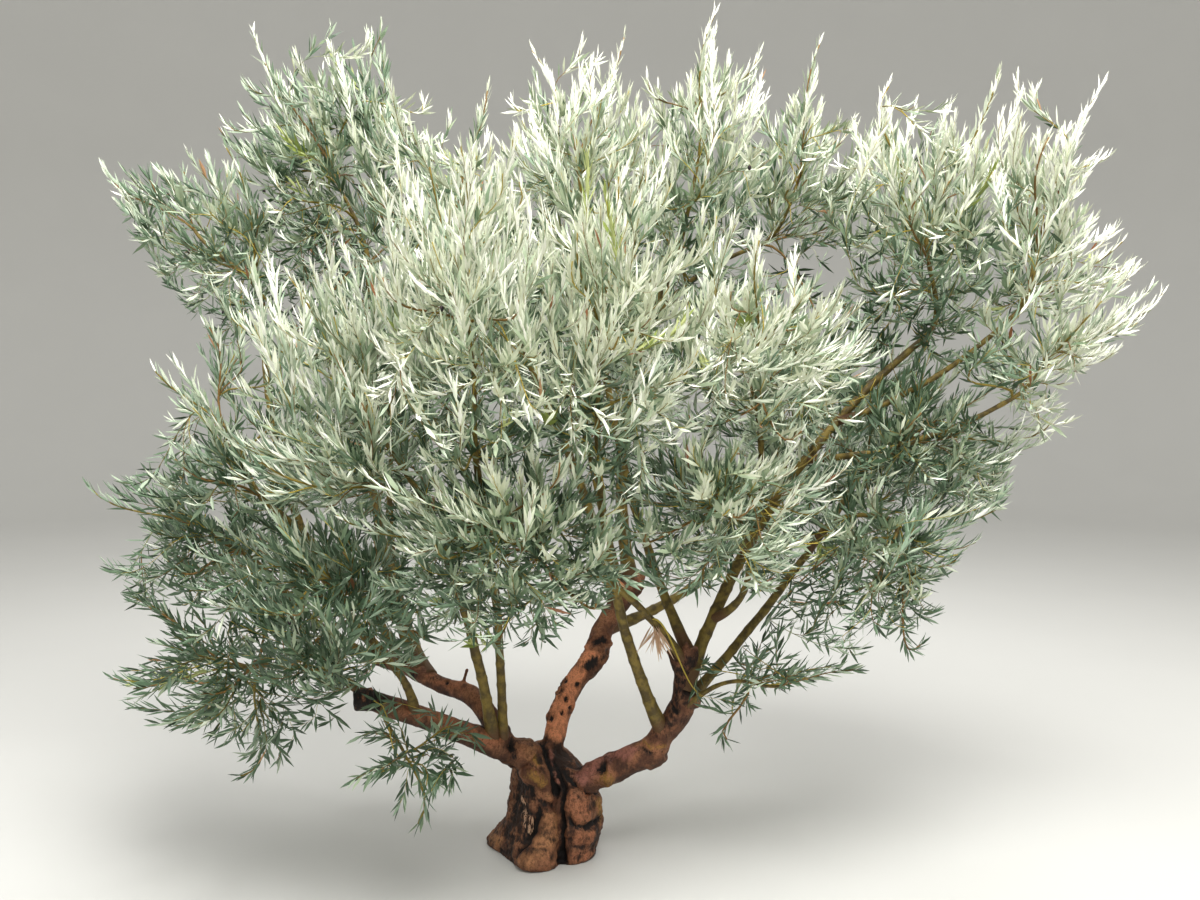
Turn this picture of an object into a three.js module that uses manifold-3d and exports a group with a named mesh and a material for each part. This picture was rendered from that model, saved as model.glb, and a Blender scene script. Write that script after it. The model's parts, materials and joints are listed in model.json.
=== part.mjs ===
// An olive tree that was cut back hard and has grown out again: a squat gnarled trunk, stout red-brown
// boughs, slim green stems that rise from them, and a wide loose crown of silvery leaf sprays.
// Millimetres, +Z up. The origin is in the flat cut at ground level, in the middle of the trunk.
// +X is to the right of the reference view and +Y is away from it.
import * as THREE from "three";
import { mergeVertices } from "three/addons/utils/BufferGeometryUtils.js";
import Module from "manifold-3d";

const wasm = await Module();
wasm.setup();

// Driving sizes of the trunk
const TRUNK_HEIGHT = 372; // ground to the top of the knob beside the fork
const TRUNK_WAIST = 128; // radius of the plain stem under its lobes, at the ground
const TRUNK_TAPER = 0.26; // share of that radius lost at the top
const TRUNK_FLARE = 0.16; // share of that radius gained at the ground
const TRUNK_FLARE_HEIGHT = 60;
const TRUNK_DOME = 0.28; // share of the height over which the top rounds over
const TRUNK_CROWN = 0.08; // squared share of the radius that is left at the very top
const TRUNK_LEAN = [-6, 10]; // how far the top stands off the foot, along X and Y
const TRUNK_SIDES = 30;
const TRUNK_STEPS = 11;

// Driving sizes of the limbs
const LIMB_SIDES = [5, 7, 9]; // slim, middling and stout limbs
const LIMB_SIDES_OVER = [0, 24, 40]; // the root radius from which each number of sides is used
const LIMB_STEP = 230; // at most this length of limb from ring to ring
const LIMB_STEPS_AT_LEAST = 3;
const COLLAR = 0.3; // a limb is this share wider at its root
const COLLAR_LENGTH = 2.5; // in radii
const BEAD_STEP = 25; // from place to place where foliage is tested against a limb

// Driving sizes of the foliage. A blade stands for a whole leafy shoot, so it is larger than a leaf.
const BLADE_LENGTH = 330;
const BLADE_LENGTHS = [0.75, 1.05]; // shares of that length, from the shortest to the longest
const BLADE_WIDTH = 102;
const BLADE_THICKNESS = 10;
const BLADE_WIDEST = 0.45; // share of its length at which a blade is widest
const BLADE_SPLAY = 0.9; // how far a side blade turns off its twig, as a slope
const BLADE_LIFT = 0.2; // and up
const SIDE_BLADE_PLACES = [0.52, 0.85]; // shares of the bare twig, one for each blade besides the end one
const TWIG_ROOT = 7; // radius of a twig where it leaves its parent
const TWIG_MIDDLE = 4.8;
const TWIG_NECK = 4; // and where its last blade begins
const TWIG_SIDES = 3;
const TWIG_BARE_AT_LEAST = 0.3; // share of a shoot before its last blade
const FORK_ON_TWIG = 0.6; // share of a bare twig where the next one may leave it
const FORKS_ON_STEM = [0.1, 0.25, 0.4, 0.55, 0.7, 0.85, 0.98];
const STEM_SIDES = 4;
const STEM_STEPS = 3;
const STEM_FIT = 0.96; // a mass's stem is this share of its limb's tip, and tapers by half
const STEM_TAPER = 0.5;
const STEM_REACH = 0.9; // share of the way from the limb's tip to the middle of the mass
const STEM_RISE = 0.12; // share of the mass's reach that the stem's tip stands higher
const TIP_DEPTHS = [0.78, 0.96]; // how far out in a mass's space its tips lie
const TIP_CANDIDATES = 40; // places tried for each tip
const TURN_COST = 1.6; // over 1, and lower makes twigs leave in line with their parent
const TRIES = 5; // before a twig or a blade that has no room is left out
const CROWN_HEART = [80, 0, 900]; // shoots point away from here, and up
const CROWN_LIFT = 0.75; // how strongly they turn up
const CROWN_SQUASH = 0.75; // how much less height counts than breadth in pointing away
const SWEEP_OUT = 0.35; // share of its span that a twig keeps to its parent's way
const SWEEP_IN = 0.4; // and that it keeps to its tip's own way
const FIRST_SEED = 11;

// Clearances
const CLEARANCE = 0.3; // between two pieces that meet
const LEAF_CLEARANCE = 9; // between foliage and a limb that passes it
const SEAM = 0.02; // share of a mass's reach that it keeps from its neighbour's space
const SEAM_TOLERANCE = 0.25; // slivers thinner than this are closed up where two bodies are fused

const BARK_RED = 0x8a4a30;
const BARK_GREEN = 0x6d6330;
const LEAF_SILVER = 0xaab59c;
const LEAF_GREY = 0x7f9080;
const SILVER_OVER = 1400; // masses whose middle is higher than this are the silver ones

// Swellings and hollows of the trunk: heading round from +X towards +Y and half-width in degrees,
// height and half-height in millimetres, and how far each stands out of the round stem.
const TRUNK_LOBES = [
  { name: "left foot", heading: 158, spread: 24, height: 0, tall: 75, out: 68 },
  { name: "front left foot", heading: 262, spread: 26, height: 20, tall: 75, out: 52 },
  { name: "right lobe", heading: 322, spread: 30, height: 130, tall: 170, out: 44 },
  { name: "right side", heading: 358, spread: 34, height: 130, tall: 125, out: 56 },
  { name: "back foot", heading: 70, spread: 34, height: 0, tall: 80, out: 40 },
  { name: "front groove", heading: 293, spread: 8, height: 110, tall: 150, out: -46 },
  { name: "left hollow", heading: 205, spread: 26, height: 210, tall: 70, out: -20 },
  { name: "back groove", heading: 110, spread: 12, height: 170, tall: 130, out: -24 },
  { name: "front knob", heading: 250, spread: 24, height: 330, tall: 60, out: 26 },
  { name: "right shoulder", heading: 350, spread: 34, height: 235, tall: 60, out: 22 },
];

// Limbs, parents before what grows on them. Each has the share of its parent's length at which it leaves
// it, or the place inside the trunk where it starts, then its tip, how far its middle stands off the
// straight line, and its radius at its root and at its tip.
const limb = (name, from, start, tip, bow, thick, thin) => ({ name, from, start, tip, bow, thick, thin });
const LIMBS = [
  limb("bough_left", "trunk", [-52, -30, 322], [-556, -262, 592], [4, 2, 4], 40, 32),
  limb("bough_left_back", "bough_left", 0.16, [-610, 190, 617], [82, -21, 36], 37, 27),
  limb("bough_middle", "trunk", [14, 0, 290], [316, 267, 873], [-48, -12, 4], 33, 38),
  limb("bough_right", "trunk", [66, -22, 224], [388, -116, 392], [-10, -8, -6], 43, 46),
  limb("bough_right_upright", "bough_right", 0.93, [474, -120, 722], [36, -4, -12], 39, 34),
  limb("stem_front_left", "bough_left", 0.23, [-318, -420, 1180], [24, 0, 0], 22, 13),
  limb("stem_front_crest", "bough_left", 0.17, [-172, -500, 1330], [14, 36, 10], 18, 12),
  limb("stem_left_near", "bough_left", 0.72, [-545, -440, 860], [50, 0, -20], 18, 11),
  limb("stem_front_hanging", "bough_left", 0.84, [-430, -440, 520], [-30, -20, 40], 11, 7),
  limb("stem_left_bottom", "bough_left", 0.95, [-860, -230, 690], [10, 10, 30], 17, 10),
  limb("stem_left_low", "bough_left_back", 0.97, [-930, 0, 950], [10, -30, -40], 18, 11),
  limb("stem_left_middle", "bough_left_back", 0.86, [-870, -190, 1200], [50, -30, 20], 19, 12),
  limb("stem_far_left", "bough_left_back", 0.92, [-1000, 250, 1850], [-110, 10, -110], 21, 12),
  limb("stem_top_left", "bough_left_back", 0.78, [-640, 330, 1950], [-70, 0, -40], 22, 12),
  limb("stem_rear_left", "bough_left_back", 0.7, [-620, 590, 1170], [-40, 40, -70], 20, 12),
  limb("stem_rear_right", "bough_middle", 0.72, [830, 520, 1130], [40, 10, -60], 22, 13),
  limb("stem_rear_centre", "bough_middle", 0.9, [150, 640, 1300], [10, -20, -60], 24, 13),
  limb("stem_top_peak", "bough_middle", 0.97, [430, 330, 1960], [-90, 10, 0], 26, 12),
  limb("stem_top_right", "stem_top_peak", 0.82, [760, 480, 2080], [-30, 0, 40], 13, 9),
  limb("stem_top_inner_left", "bough_middle", 0.84, [-160, 200, 1850], [60, 0, -40], 22, 11),
  limb("stem_front_right", "bough_right_upright", 0.16, [185, -450, 1330], [-40, 0, -20], 24, 12),
  limb("stem_top_centre", "bough_right_upright", 0.96, [170, 40, 1980], [-60, 30, -20], 19, 10),
  limb("stem_front_low", "bough_right_upright", 0.82, [40, -500, 1080], [23, 22, 44], 16, 10),
  limb("stem_right_crown", "bough_right_upright", 0.62, [1290, 112, 1735], [-85, 10, 55], 25, 13),
  limb("stem_right_outer", "stem_right_crown", 0.72, [1540, -40, 1800], [-10, -20, -50], 14, 9),
  limb("stem_right_tip", "stem_right_crown", 0.6, [1500, -110, 1520], [0, -20, -40], 13, 9),
  limb("stem_centre_right", "stem_right_crown", 0.33, [680, -250, 1480], [30, -30, -30], 15, 10),
  limb("stem_centre_low", "stem_right_crown", 0.17, [640, -300, 1130], [50, -10, -40], 15, 10),
  limb("stem_right_low", "bough_right_upright", 0.42, [1075, 130, 1250], [10, -6, -20], 20, 12),
  limb("stem_right_bottom", "stem_right_low", 0.7, [1160, -40, 1130], [-30, 3, 60], 12, 9),
  limb("stem_right_hanging", "bough_right_upright", 0.3, [640, -240, 640], [0, -10, 40], 11, 7),
];

// Masses of foliage, each on the stem of its name: the number of its shoots, the middle of its space, the
// space's reach along X, Y and Z, and its leading tips.
const mass = (name, shoots, middle, reach, ...leads) => ({ name, shoots, middle, reach, leads });
const MASSES = [
  mass("top_left", 7, [-790, 360, 2310], [460, 380, 660], [-1035, 320, 2850], [-630, 300, 2800]),
  mass("far_left", 6, [-1250, 210, 2090], [430, 370, 430], [-1590, 250, 2330]),
  mass("top_inner_left", 6, [-310, 90, 2110], [380, 380, 560], [-190, 90, 2560]),
  mass("front_crest", 6, [-190, -620, 1720], [370, 400, 530], [-290, -600, 2190], [-40, -590, 2150]),
  mass("front_left", 6, [-560, -520, 1530], [380, 390, 490], [-704, -540, 1890]),
  mass("front_right", 6, [190, -560, 1690], [320, 390, 530], [240, -560, 2170]),
  mass("front_low", 6, [-110, -660, 1150], [430, 430, 310], [-230, -1040, 1180]),
  mass("left_middle", 6, [-1040, -150, 1430], [370, 380, 400], [-1050, -180, 1760], [-1220, -190, 1620]),
  mass("left_low", 6, [-1140, -70, 1080], [420, 380, 330], [-1475, -100, 1240], [-1410, -100, 965]),
  mass("left_bottom", 6, [-1040, -230, 660], [430, 390, 370], [-1400, -130, 620], [-970, -200, 320]),
  mass("left_near", 6, [-600, -560, 990], [350, 390, 330], [-700, -900, 1000]),
  mass("front_hanging", 4, [-400, -560, 460], [260, 260, 220], [-348, -540, 290]),
  mass("top_centre", 6, [110, 40, 2290], [350, 380, 540], [265, 0, 2710], [-40, 80, 2690]),
  mass("top_peak", 6, [540, 230, 2310], [330, 380, 640], [571, 110, 2860], [724, 130, 2690]),
  mass("top_right", 6, [930, 360, 2300], [300, 370, 530], [942, 210, 2745]),
  mass("right_crown", 6, [1310, 60, 2140], [380, 390, 560], [1500, 20, 2600], [1140, 30, 2560]),
  mass("right_outer", 6, [1660, -60, 2080], [330, 370, 590], [1830, -20, 2560]),
  mass("right_tip", 6, [1690, -120, 1680], [400, 370, 330], [2002, -110, 1870]),
  mass("right_low", 6, [1270, 20, 1390], [450, 390, 330], [1665, -80, 1455]),
  mass("right_bottom", 6, [1120, -170, 990], [430, 370, 340], [1460, -150, 1175], [1230, -150, 740]),
  mass("centre_right", 6, [680, -360, 1690], [350, 390, 400], [640, -560, 1990]),
  mass("centre_low", 6, [560, -440, 1230], [350, 390, 300], [600, -800, 1260]),
  mass("right_hanging", 4, [780, -250, 600], [290, 260, 220], [1015, -200, 666], [590, -250, 455]),
  mass("rear_left", 7, [-640, 690, 1540], [490, 530, 680], [-860, 780, 2080]),
  mass("rear_centre", 7, [140, 750, 1700], [490, 520, 700], [140, 900, 2270]),
  mass("rear_right", 7, [980, 620, 1420], [540, 530, 570], [1380, 680, 1730]),
];

const vector = (place) => new THREE.Vector3(...place);
const UP = vector([0, 0, 1]);
const AHEAD = vector([0, 1, 0]);

/** A seeded generator of numbers from 0 to 1, so that every build gives the same tree. */
function seeded(seed) {
  let state = seed >>> 0;
  return () => {
    state = (state + 0x6d2b79f5) >>> 0;
    let mixed = state;
    mixed = Math.imul(mixed ^ (mixed >>> 15), mixed | 1);
    mixed ^= mixed + Math.imul(mixed ^ (mixed >>> 7), mixed | 61);
    return ((mixed ^ (mixed >>> 14)) >>> 0) / 4294967296;
  };
}

/** A closed three.js geometry as a solid that can be joined and cut. */
function solidOf(geometry) {
  const plain = geometry.clone();
  plain.deleteAttribute("normal");
  plain.deleteAttribute("uv");
  const merged = mergeVertices(plain, 1e-3);
  return new wasm.Manifold(
    new wasm.Mesh({
      numProp: 3,
      vertProperties: merged.attributes.position.array,
      triVerts: new Uint32Array(merged.index.array),
    }),
  );
}

/** The largest single body of a solid, as a three.js geometry. */
function geometryOf(solid) {
  const bodies = solid.decompose();
  const largest = bodies.reduce((a, b) => (b.volume() > a.volume() ? b : a));
  const mesh = largest.getMesh();
  const geometry = new THREE.BufferGeometry()
    .setAttribute("position", new THREE.BufferAttribute(mesh.vertProperties, 3))
    .setIndex(new THREE.BufferAttribute(mesh.triVerts, 1));
  geometry.computeVertexNormals();
  return geometry;
}

/**
 * A closed body through rings, from a cylinder. Each ring has its place and its way, and is wide to its
 * side and thick the other way. A last ring of no width is a point.
 */
function loft(rings, sides, flat) {
  const steps = rings.length - 1;
  const geometry = new THREE.CylinderGeometry(rings[steps].wide > 0 ? 1 : 0, 1, 1, sides, steps);
  const side = flat.clone();
  for (const ring of rings) {
    side.addScaledVector(ring.way, -side.dot(ring.way)).normalize();
    ring.side = side.clone();
    ring.across = side.clone().cross(ring.way);
  }
  const position = geometry.attributes.position;
  for (let i = 0; i < position.count; i++) {
    const ring = rings[Math.round((position.getY(i) + 0.5) * steps)];
    const spread = Math.hypot(position.getX(i), position.getZ(i)) || 1;
    const moved = ring.at
      .clone()
      .addScaledVector(ring.side, (position.getX(i) / spread) * ring.wide)
      .addScaledVector(ring.across, (position.getZ(i) / spread) * ring.thick);
    position.setXYZ(i, moved.x, moved.y, moved.z);
  }
  return geometry;
}

/** A round tube along a curve, grown by a margin all round. radius(t) has t from 0 at the root to 1. */
function tube(curve, radius, sides, steps, margin = 0) {
  const rings = Array.from({ length: steps + 1 }, (_, i) => {
    const t = i / steps;
    const size = radius(t) + margin;
    return { at: curve.getPoint(t), way: curve.getTangent(t), wide: size, thick: size };
  });
  rings[0].at.addScaledVector(rings[0].way, -margin);
  rings[steps].at.addScaledVector(rings[steps].way, margin);
  return loft(rings, sides, Math.abs(rings[0].way.z) < 0.8 ? UP : AHEAD);
}

/** The trunk's axis at a share of its height. */
function trunkAxis(share) {
  return vector([TRUNK_LEAN[0] * share, TRUNK_LEAN[1] * share, TRUNK_HEIGHT * share]);
}

/** The smallest turn from one heading to another, in degrees. */
function turnBetween(from, to) {
  return THREE.MathUtils.euclideanModulo(to - from + 180, 360) - 180;
}

/** The trunk's radius at a heading in degrees and a height: a round stem, its lobes, and a domed top. */
function trunkRadius(heading, height) {
  const share = height / TRUNK_HEIGHT;
  const flare = TRUNK_FLARE * Math.exp(-height / TRUNK_FLARE_HEIGHT);
  let radius = TRUNK_WAIST * (1 - TRUNK_TAPER * share ** 2 + flare);
  for (const lobe of TRUNK_LOBES) {
    const aside = turnBetween(lobe.heading, heading) / lobe.spread;
    const above = (height - lobe.height) / lobe.tall;
    radius += lobe.out * Math.exp(-(aside ** 2) - above ** 2);
  }
  const domed = Math.max(0, (share - 1) / TRUNK_DOME + 1);
  return radius * Math.sqrt(Math.max(TRUNK_CROWN, 1 - domed ** 2));
}

/** The trunk, grown by a margin: a cylinder whose rings take the trunk's outline. */
function trunkSolid(margin) {
  const geometry = new THREE.CylinderGeometry(1, 1, 1, TRUNK_SIDES, TRUNK_STEPS);
  const position = geometry.attributes.position;
  for (let i = 0; i < position.count; i++) {
    const share = position.getY(i) + 0.5;
    const inward = Math.hypot(position.getX(i), position.getZ(i));
    const turn = Math.atan2(-position.getZ(i), position.getX(i));
    const height = TRUNK_HEIGHT * share;
    const radius = inward * (trunkRadius(THREE.MathUtils.radToDeg(turn), height) + margin);
    const axis = trunkAxis(share);
    const lift = share === 1 ? margin : 0;
    position.setXYZ(i, axis.x + radius * Math.cos(turn), axis.y + radius * Math.sin(turn), height + lift);
  }
  return solidOf(geometry);
}

/** Works out each limb's curve and radius, parents first. */
function placeLimbs() {
  const placed = new Map();
  for (const row of LIMBS) {
    const start = row.from === "trunk" ? vector(row.start) : placed.get(row.from).curve.getPoint(row.start);
    const tip = vector(row.tip);
    const bend = start.clone().lerp(tip, 0.5).addScaledVector(vector(row.bow), 2);
    const curve = new THREE.QuadraticBezierCurve3(start, bend, tip);
    const length = curve.getLength();
    const radius = (t) => {
      const collar = 1 + COLLAR * Math.exp((-t * length) / (COLLAR_LENGTH * row.thick));
      return (row.thick + (row.thin - row.thick) * t) * collar;
    };
    const spans = Math.ceil(length / BEAD_STEP);
    const beads = Array.from({ length: spans + 1 }, (_, i) => ({
      at: curve.getPoint(i / spans),
      r: radius(i / spans),
    }));
    placed.set(row.name, { ...row, curve, radius, length, beads });
  }
  return placed;
}

/** A limb's tube, grown by a margin all round. */
function limbSolid(limb, margin) {
  const kind = LIMB_SIDES_OVER.findLastIndex((over) => limb.thick >= over);
  const steps = Math.max(LIMB_STEPS_AT_LEAST, Math.ceil(limb.length / LIMB_STEP));
  return solidOf(tube(limb.curve, limb.radius, LIMB_SIDES[kind], steps, margin));
}

/** How far a point is into a mass's space: 0 in the middle and 1 at its edge. */
function depthIn(space, point) {
  const [x, y, z] = space.middle;
  const [rx, ry, rz] = space.reach;
  return Math.hypot((point.x - x) / rx, (point.y - y) / ry, (point.z - z) / rz);
}

/** Whether a mass owns a point: in its space, further in than in any other, and clear of all limbs. */
function owns(space, point, limbs) {
  const depth = depthIn(space, point);
  if (depth > 1) return false;
  if (MASSES.some((other) => other !== space && depthIn(other, point) < depth + SEAM)) return false;
  for (const { beads } of limbs.values()) {
    if (beads.some(({ at, r }) => at.distanceTo(point) < r + LEAF_CLEARANCE)) return false;
  }
  return true;
}

/** The way that a shoot's end points at a place: out of the crown's heart, and up. */
function growthAt(point) {
  const out = point.clone().sub(vector(CROWN_HEART));
  out.z *= CROWN_SQUASH;
  return out.normalize().addScaledVector(UP, CROWN_LIFT).normalize();
}

/** A line that leaves one place along a direction and comes to another along a second one. */
function sweep(from, leaving, to, arriving) {
  const span = from.distanceTo(to);
  const bendOut = from.clone().addScaledVector(leaving, SWEEP_OUT * span);
  const bendIn = to.clone().addScaledVector(arriving, -SWEEP_IN * span);
  return new THREE.CubicBezierCurve3(from, bendOut, bendIn, to);
}

/** A twig that widens into a flat blade at its end, as one body along a curve. */
function shoot(curve, bare, flat) {
  // A three-sided ring is 1.5 radii thick, and twice 0.866 of a radius wide
  const bladeWide = BLADE_WIDTH / 2 / Math.cos(Math.PI / 6);
  const stations = [
    { t: 0, wide: TWIG_ROOT, thick: TWIG_ROOT },
    { t: bare / 2, wide: TWIG_MIDDLE, thick: TWIG_MIDDLE },
    { t: bare, wide: TWIG_NECK, thick: TWIG_NECK },
    { t: bare + (1 - bare) * BLADE_WIDEST, wide: bladeWide, thick: BLADE_THICKNESS / 1.5 },
    { t: 1, wide: 0, thick: 0 },
  ];
  const rings = stations.map(({ t, wide, thick }) => ({
    at: curve.getPoint(t),
    way: curve.getTangent(t),
    wide,
    thick,
  }));
  return loft(rings, TWIG_SIDES, flat);
}

/** A keeled blade from its root to its tip, widest at BLADE_WIDEST and flat to the side given. */
function blade(root, tip, flat) {
  const along = tip.clone().sub(root);
  const length = along.length();
  const halfWidth = (0.5 * BLADE_WIDTH * length) / BLADE_LENGTH;
  along.normalize();
  const across = along.clone().cross(flat).normalize();
  const over = along.clone().cross(across);
  const geometry = new THREE.TetrahedronGeometry(1);
  const position = geometry.attributes.position;
  for (let i = 0; i < position.count; i++) {
    const forward = Math.sign(-position.getX(i) - position.getY(i));
    const sideways = Math.sign(position.getX(i) - position.getY(i));
    const share = sideways === 0 ? (forward + 1) / 2 : BLADE_WIDEST;
    const moved = root
      .clone()
      .addScaledVector(along, share * length)
      .addScaledVector(across, sideways * halfWidth)
      .addScaledVector(over, Math.sign(position.getZ(i)) * 0.5 * BLADE_THICKNESS);
    position.setXYZ(i, moved.x, moved.y, moved.z);
  }
  return geometry;
}

/** A place between two depths of a mass's space, on any side of it. */
function placeIn(space, depths, random) {
  const turn = 2 * Math.PI * random();
  const rise = 2 * random() - 1;
  const depth = THREE.MathUtils.lerp(...depths, random());
  const level = Math.sqrt(1 - rise ** 2);
  return vector([level * Math.cos(turn), level * Math.sin(turn), rise])
    .multiply(vector(space.reach))
    .multiplyScalar(depth)
    .add(vector(space.middle));
}

/** Picks the places of a mass's tips: its leads first, then each as far as it can be from the others. */
function shootTips(space, limbs, random) {
  const tips = space.leads.map(vector);
  while (tips.length < space.shoots) {
    const free = Array.from({ length: TIP_CANDIDATES }, () => placeIn(space, TIP_DEPTHS, random))
      .filter((place) => owns(space, place, limbs))
      .map((place) => ({ place, room: Math.min(...tips.map((tip) => tip.distanceTo(place))) }));
    if (free.length === 0) break;
    tips.push(free.reduce((a, b) => (b.room > a.room ? b : a)).place);
  }
  return tips;
}

/** Whether two solids lie nearer to each other than the clearance. */
function touching(one, other) {
  const [a, b] = [one.boundingBox(), other.boundingBox()];
  const apart = [0, 1, 2].some((i) => a.min[i] > b.max[i] + CLEARANCE || b.min[i] > a.max[i] + CLEARANCE);
  return !apart && one.minGap(other, CLEARANCE) < CLEARANCE;
}

/** Adds a geometry to a mass if it keeps to the mass's space and touches only its parent. */
function fit(growth, geometry, parent) {
  const position = geometry.attributes.position;
  const corner = new THREE.Vector3();
  for (let i = 0; i < position.count; i++) {
    if (!owns(growth.space, corner.fromBufferAttribute(position, i), growth.limbs)) return null;
  }
  const solid = solidOf(geometry);
  const around = [...growth.others, ...growth.pieces.filter((piece) => piece !== parent)];
  if (around.some((other) => touching(solid, other))) return null;
  growth.pieces.push(solid);
  return solid;
}

/** Grows a shoot from the best of the forks to a tip, or from the next best where it has no room. */
function growShoot(growth, forks, tip) {
  const cost = (fork) => {
    const away = tip.clone().sub(fork.at);
    return away.length() * (TURN_COST - away.normalize().dot(fork.way));
  };
  for (const fork of forks.toSorted((a, b) => cost(a) - cost(b)).slice(0, TRIES)) {
    const curve = sweep(fork.at, fork.way, tip, growthAt(tip));
    const bare = Math.max(TWIG_BARE_AT_LEAST, 1 - BLADE_LENGTH / curve.getLength());
    const solid = fit(growth, shoot(curve, bare, growth.anySide()), fork.solid);
    if (solid) return { curve, bare, solid };
  }
  return null;
}

/** Grows a blade from the side of a shoot, turned another way each time that it has no room. */
function growSideBlade(growth, twig, share) {
  for (let tried = 0; tried < TRIES; tried++) {
    const root = twig.curve.getPoint(share);
    const heading = twig.curve.getTangent(share);
    const aside = heading.clone().cross(growth.anySide()).normalize();
    heading.addScaledVector(aside, BLADE_SPLAY).addScaledVector(UP, BLADE_LIFT).normalize();
    const length = BLADE_LENGTH * THREE.MathUtils.lerp(...BLADE_LENGTHS, growth.random());
    const tip = root.clone().addScaledVector(heading, length);
    if (fit(growth, blade(root, tip, aside), twig.solid)) return;
  }
}

/** Grows one mass from its stem's limb, clear of the other solids: a stem, its shoots, and their blades. */
function growMass(space, limbs, others, seed) {
  const random = seeded(seed);
  const carrier = limbs.get(`stem_${space.name}`);
  const way = carrier.curve.getTangent(1);
  const root = carrier.curve.getPoint(1).addScaledVector(way, CLEARANCE);
  const rise = STEM_RISE * space.reach[2];
  const stemTip = root.clone().lerp(vector(space.middle), STEM_REACH).addScaledVector(UP, rise);
  const stem = sweep(root, way, stemTip, growthAt(stemTip));
  const radius = (t) => carrier.thin * (STEM_FIT - STEM_TAPER * t);
  const stemSolid = solidOf(tube(stem, radius, STEM_SIDES, STEM_STEPS));
  const anySide = () => vector([random() - 0.5, random() - 0.5, random() - 0.5]).normalize();
  const growth = { space, limbs, others, random, anySide, pieces: [stemSolid] };
  const forks = FORKS_ON_STEM.map((t) => ({
    at: stem.getPoint(t),
    way: stem.getTangent(t),
    solid: stemSolid,
  }));
  for (const tip of shootTips(space, limbs, random)) {
    const twig = growShoot(growth, forks, tip);
    if (!twig) continue;
    const forkAt = twig.bare * FORK_ON_TWIG;
    forks.push({ at: twig.curve.getPoint(forkAt), way: twig.curve.getTangent(forkAt), solid: twig.solid });
    for (const place of SIDE_BLADE_PLACES) growSideBlade(growth, twig, twig.bare * place);
  }
  return wasm.Manifold.union(growth.pieces).simplify(SEAM_TOLERANCE);
}

const material = (color, roughness) => new THREE.MeshStandardMaterial({ color, roughness, metalness: 0 });
const redBark = material(BARK_RED, 0.8);
const greenBark = material(BARK_GREEN, 0.75);
const silverLeaf = material(LEAF_SILVER, 0.6);
const greyLeaf = material(LEAF_GREY, 0.6);

const tree = new THREE.Group();

function addNode(name, geometry, finish) {
  const mesh = new THREE.Mesh(geometry, finish);
  mesh.name = name;
  tree.add(mesh);
}

const limbs = placeLimbs();
addNode("trunk", geometryOf(trunkSolid(0)), redBark);
const others = [trunkSolid(CLEARANCE)];
for (const placed of limbs.values()) {
  const solid = others.reduce((left, earlier) => left.subtract(earlier), limbSolid(placed, 0));
  addNode(placed.name, geometryOf(solid), placed.name.startsWith("bough") ? redBark : greenBark);
  others.push(limbSolid(placed, CLEARANCE));
}
MASSES.forEach((space, i) => {
  const solid = growMass(space, limbs, others, FIRST_SEED + i);
  const finish = space.middle[2] > SILVER_OVER ? silverLeaf : greyLeaf;
  addNode(`leaves_${space.name}`, geometryOf(solid), finish);
  others.push(solid);
});

export default tree;
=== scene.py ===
"""The looks of an olive tree that was cut back hard and has grown out again.

Everything is worked out in millimetres in the part's own frame, +Z up, and becomes metres only when a
mesh is made. The bark of trunk and boughs is one mesh with its relief, and the stems are another. Each
region of the crown has a mesh of twigs and a mesh of leaves, which grow on from the stems by the rule
that the part's own masses of foliage follow, carried on to finer twigs.
"""

import itertools
import json
import logging
import math
from collections.abc import Iterable, Sequence
from dataclasses import dataclass, field, replace
from enum import Enum
from functools import cached_property

import bpy
import numpy as np
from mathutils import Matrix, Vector
from numpy.typing import NDArray

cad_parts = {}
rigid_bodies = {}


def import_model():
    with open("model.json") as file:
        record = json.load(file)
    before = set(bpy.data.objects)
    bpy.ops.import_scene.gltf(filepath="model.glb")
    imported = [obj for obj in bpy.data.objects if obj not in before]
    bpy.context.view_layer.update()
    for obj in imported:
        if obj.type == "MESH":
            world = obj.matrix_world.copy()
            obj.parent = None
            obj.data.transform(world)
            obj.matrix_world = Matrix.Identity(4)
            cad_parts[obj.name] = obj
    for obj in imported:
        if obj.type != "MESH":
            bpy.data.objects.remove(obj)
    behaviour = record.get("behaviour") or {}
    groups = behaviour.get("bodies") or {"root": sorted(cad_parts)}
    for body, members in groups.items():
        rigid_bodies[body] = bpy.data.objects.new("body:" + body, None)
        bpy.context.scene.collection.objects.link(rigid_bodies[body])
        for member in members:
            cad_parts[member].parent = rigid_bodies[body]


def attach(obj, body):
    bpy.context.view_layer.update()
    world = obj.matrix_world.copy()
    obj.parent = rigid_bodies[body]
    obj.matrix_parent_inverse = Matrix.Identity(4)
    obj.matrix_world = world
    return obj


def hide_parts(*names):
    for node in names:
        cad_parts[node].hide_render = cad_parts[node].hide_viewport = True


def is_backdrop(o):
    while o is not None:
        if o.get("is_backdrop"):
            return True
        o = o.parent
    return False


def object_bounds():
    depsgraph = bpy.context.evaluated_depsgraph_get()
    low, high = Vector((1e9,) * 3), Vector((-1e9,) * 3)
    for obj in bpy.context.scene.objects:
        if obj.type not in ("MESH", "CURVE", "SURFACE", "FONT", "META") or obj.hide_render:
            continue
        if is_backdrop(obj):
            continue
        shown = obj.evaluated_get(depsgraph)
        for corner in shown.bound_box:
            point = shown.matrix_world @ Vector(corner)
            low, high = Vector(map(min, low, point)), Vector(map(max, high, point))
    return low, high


log = logging.getLogger("olive_tree")

Array = NDArray[np.float64]
Whole = NDArray[np.int64]
Place = tuple[float, float, float]
Colour = tuple[float, float, float]
Flags = NDArray[np.bool_]
Chance = np.random.Generator
Material = bpy.types.Material
Materials = list[Material]
Range = tuple[float, float]

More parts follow.
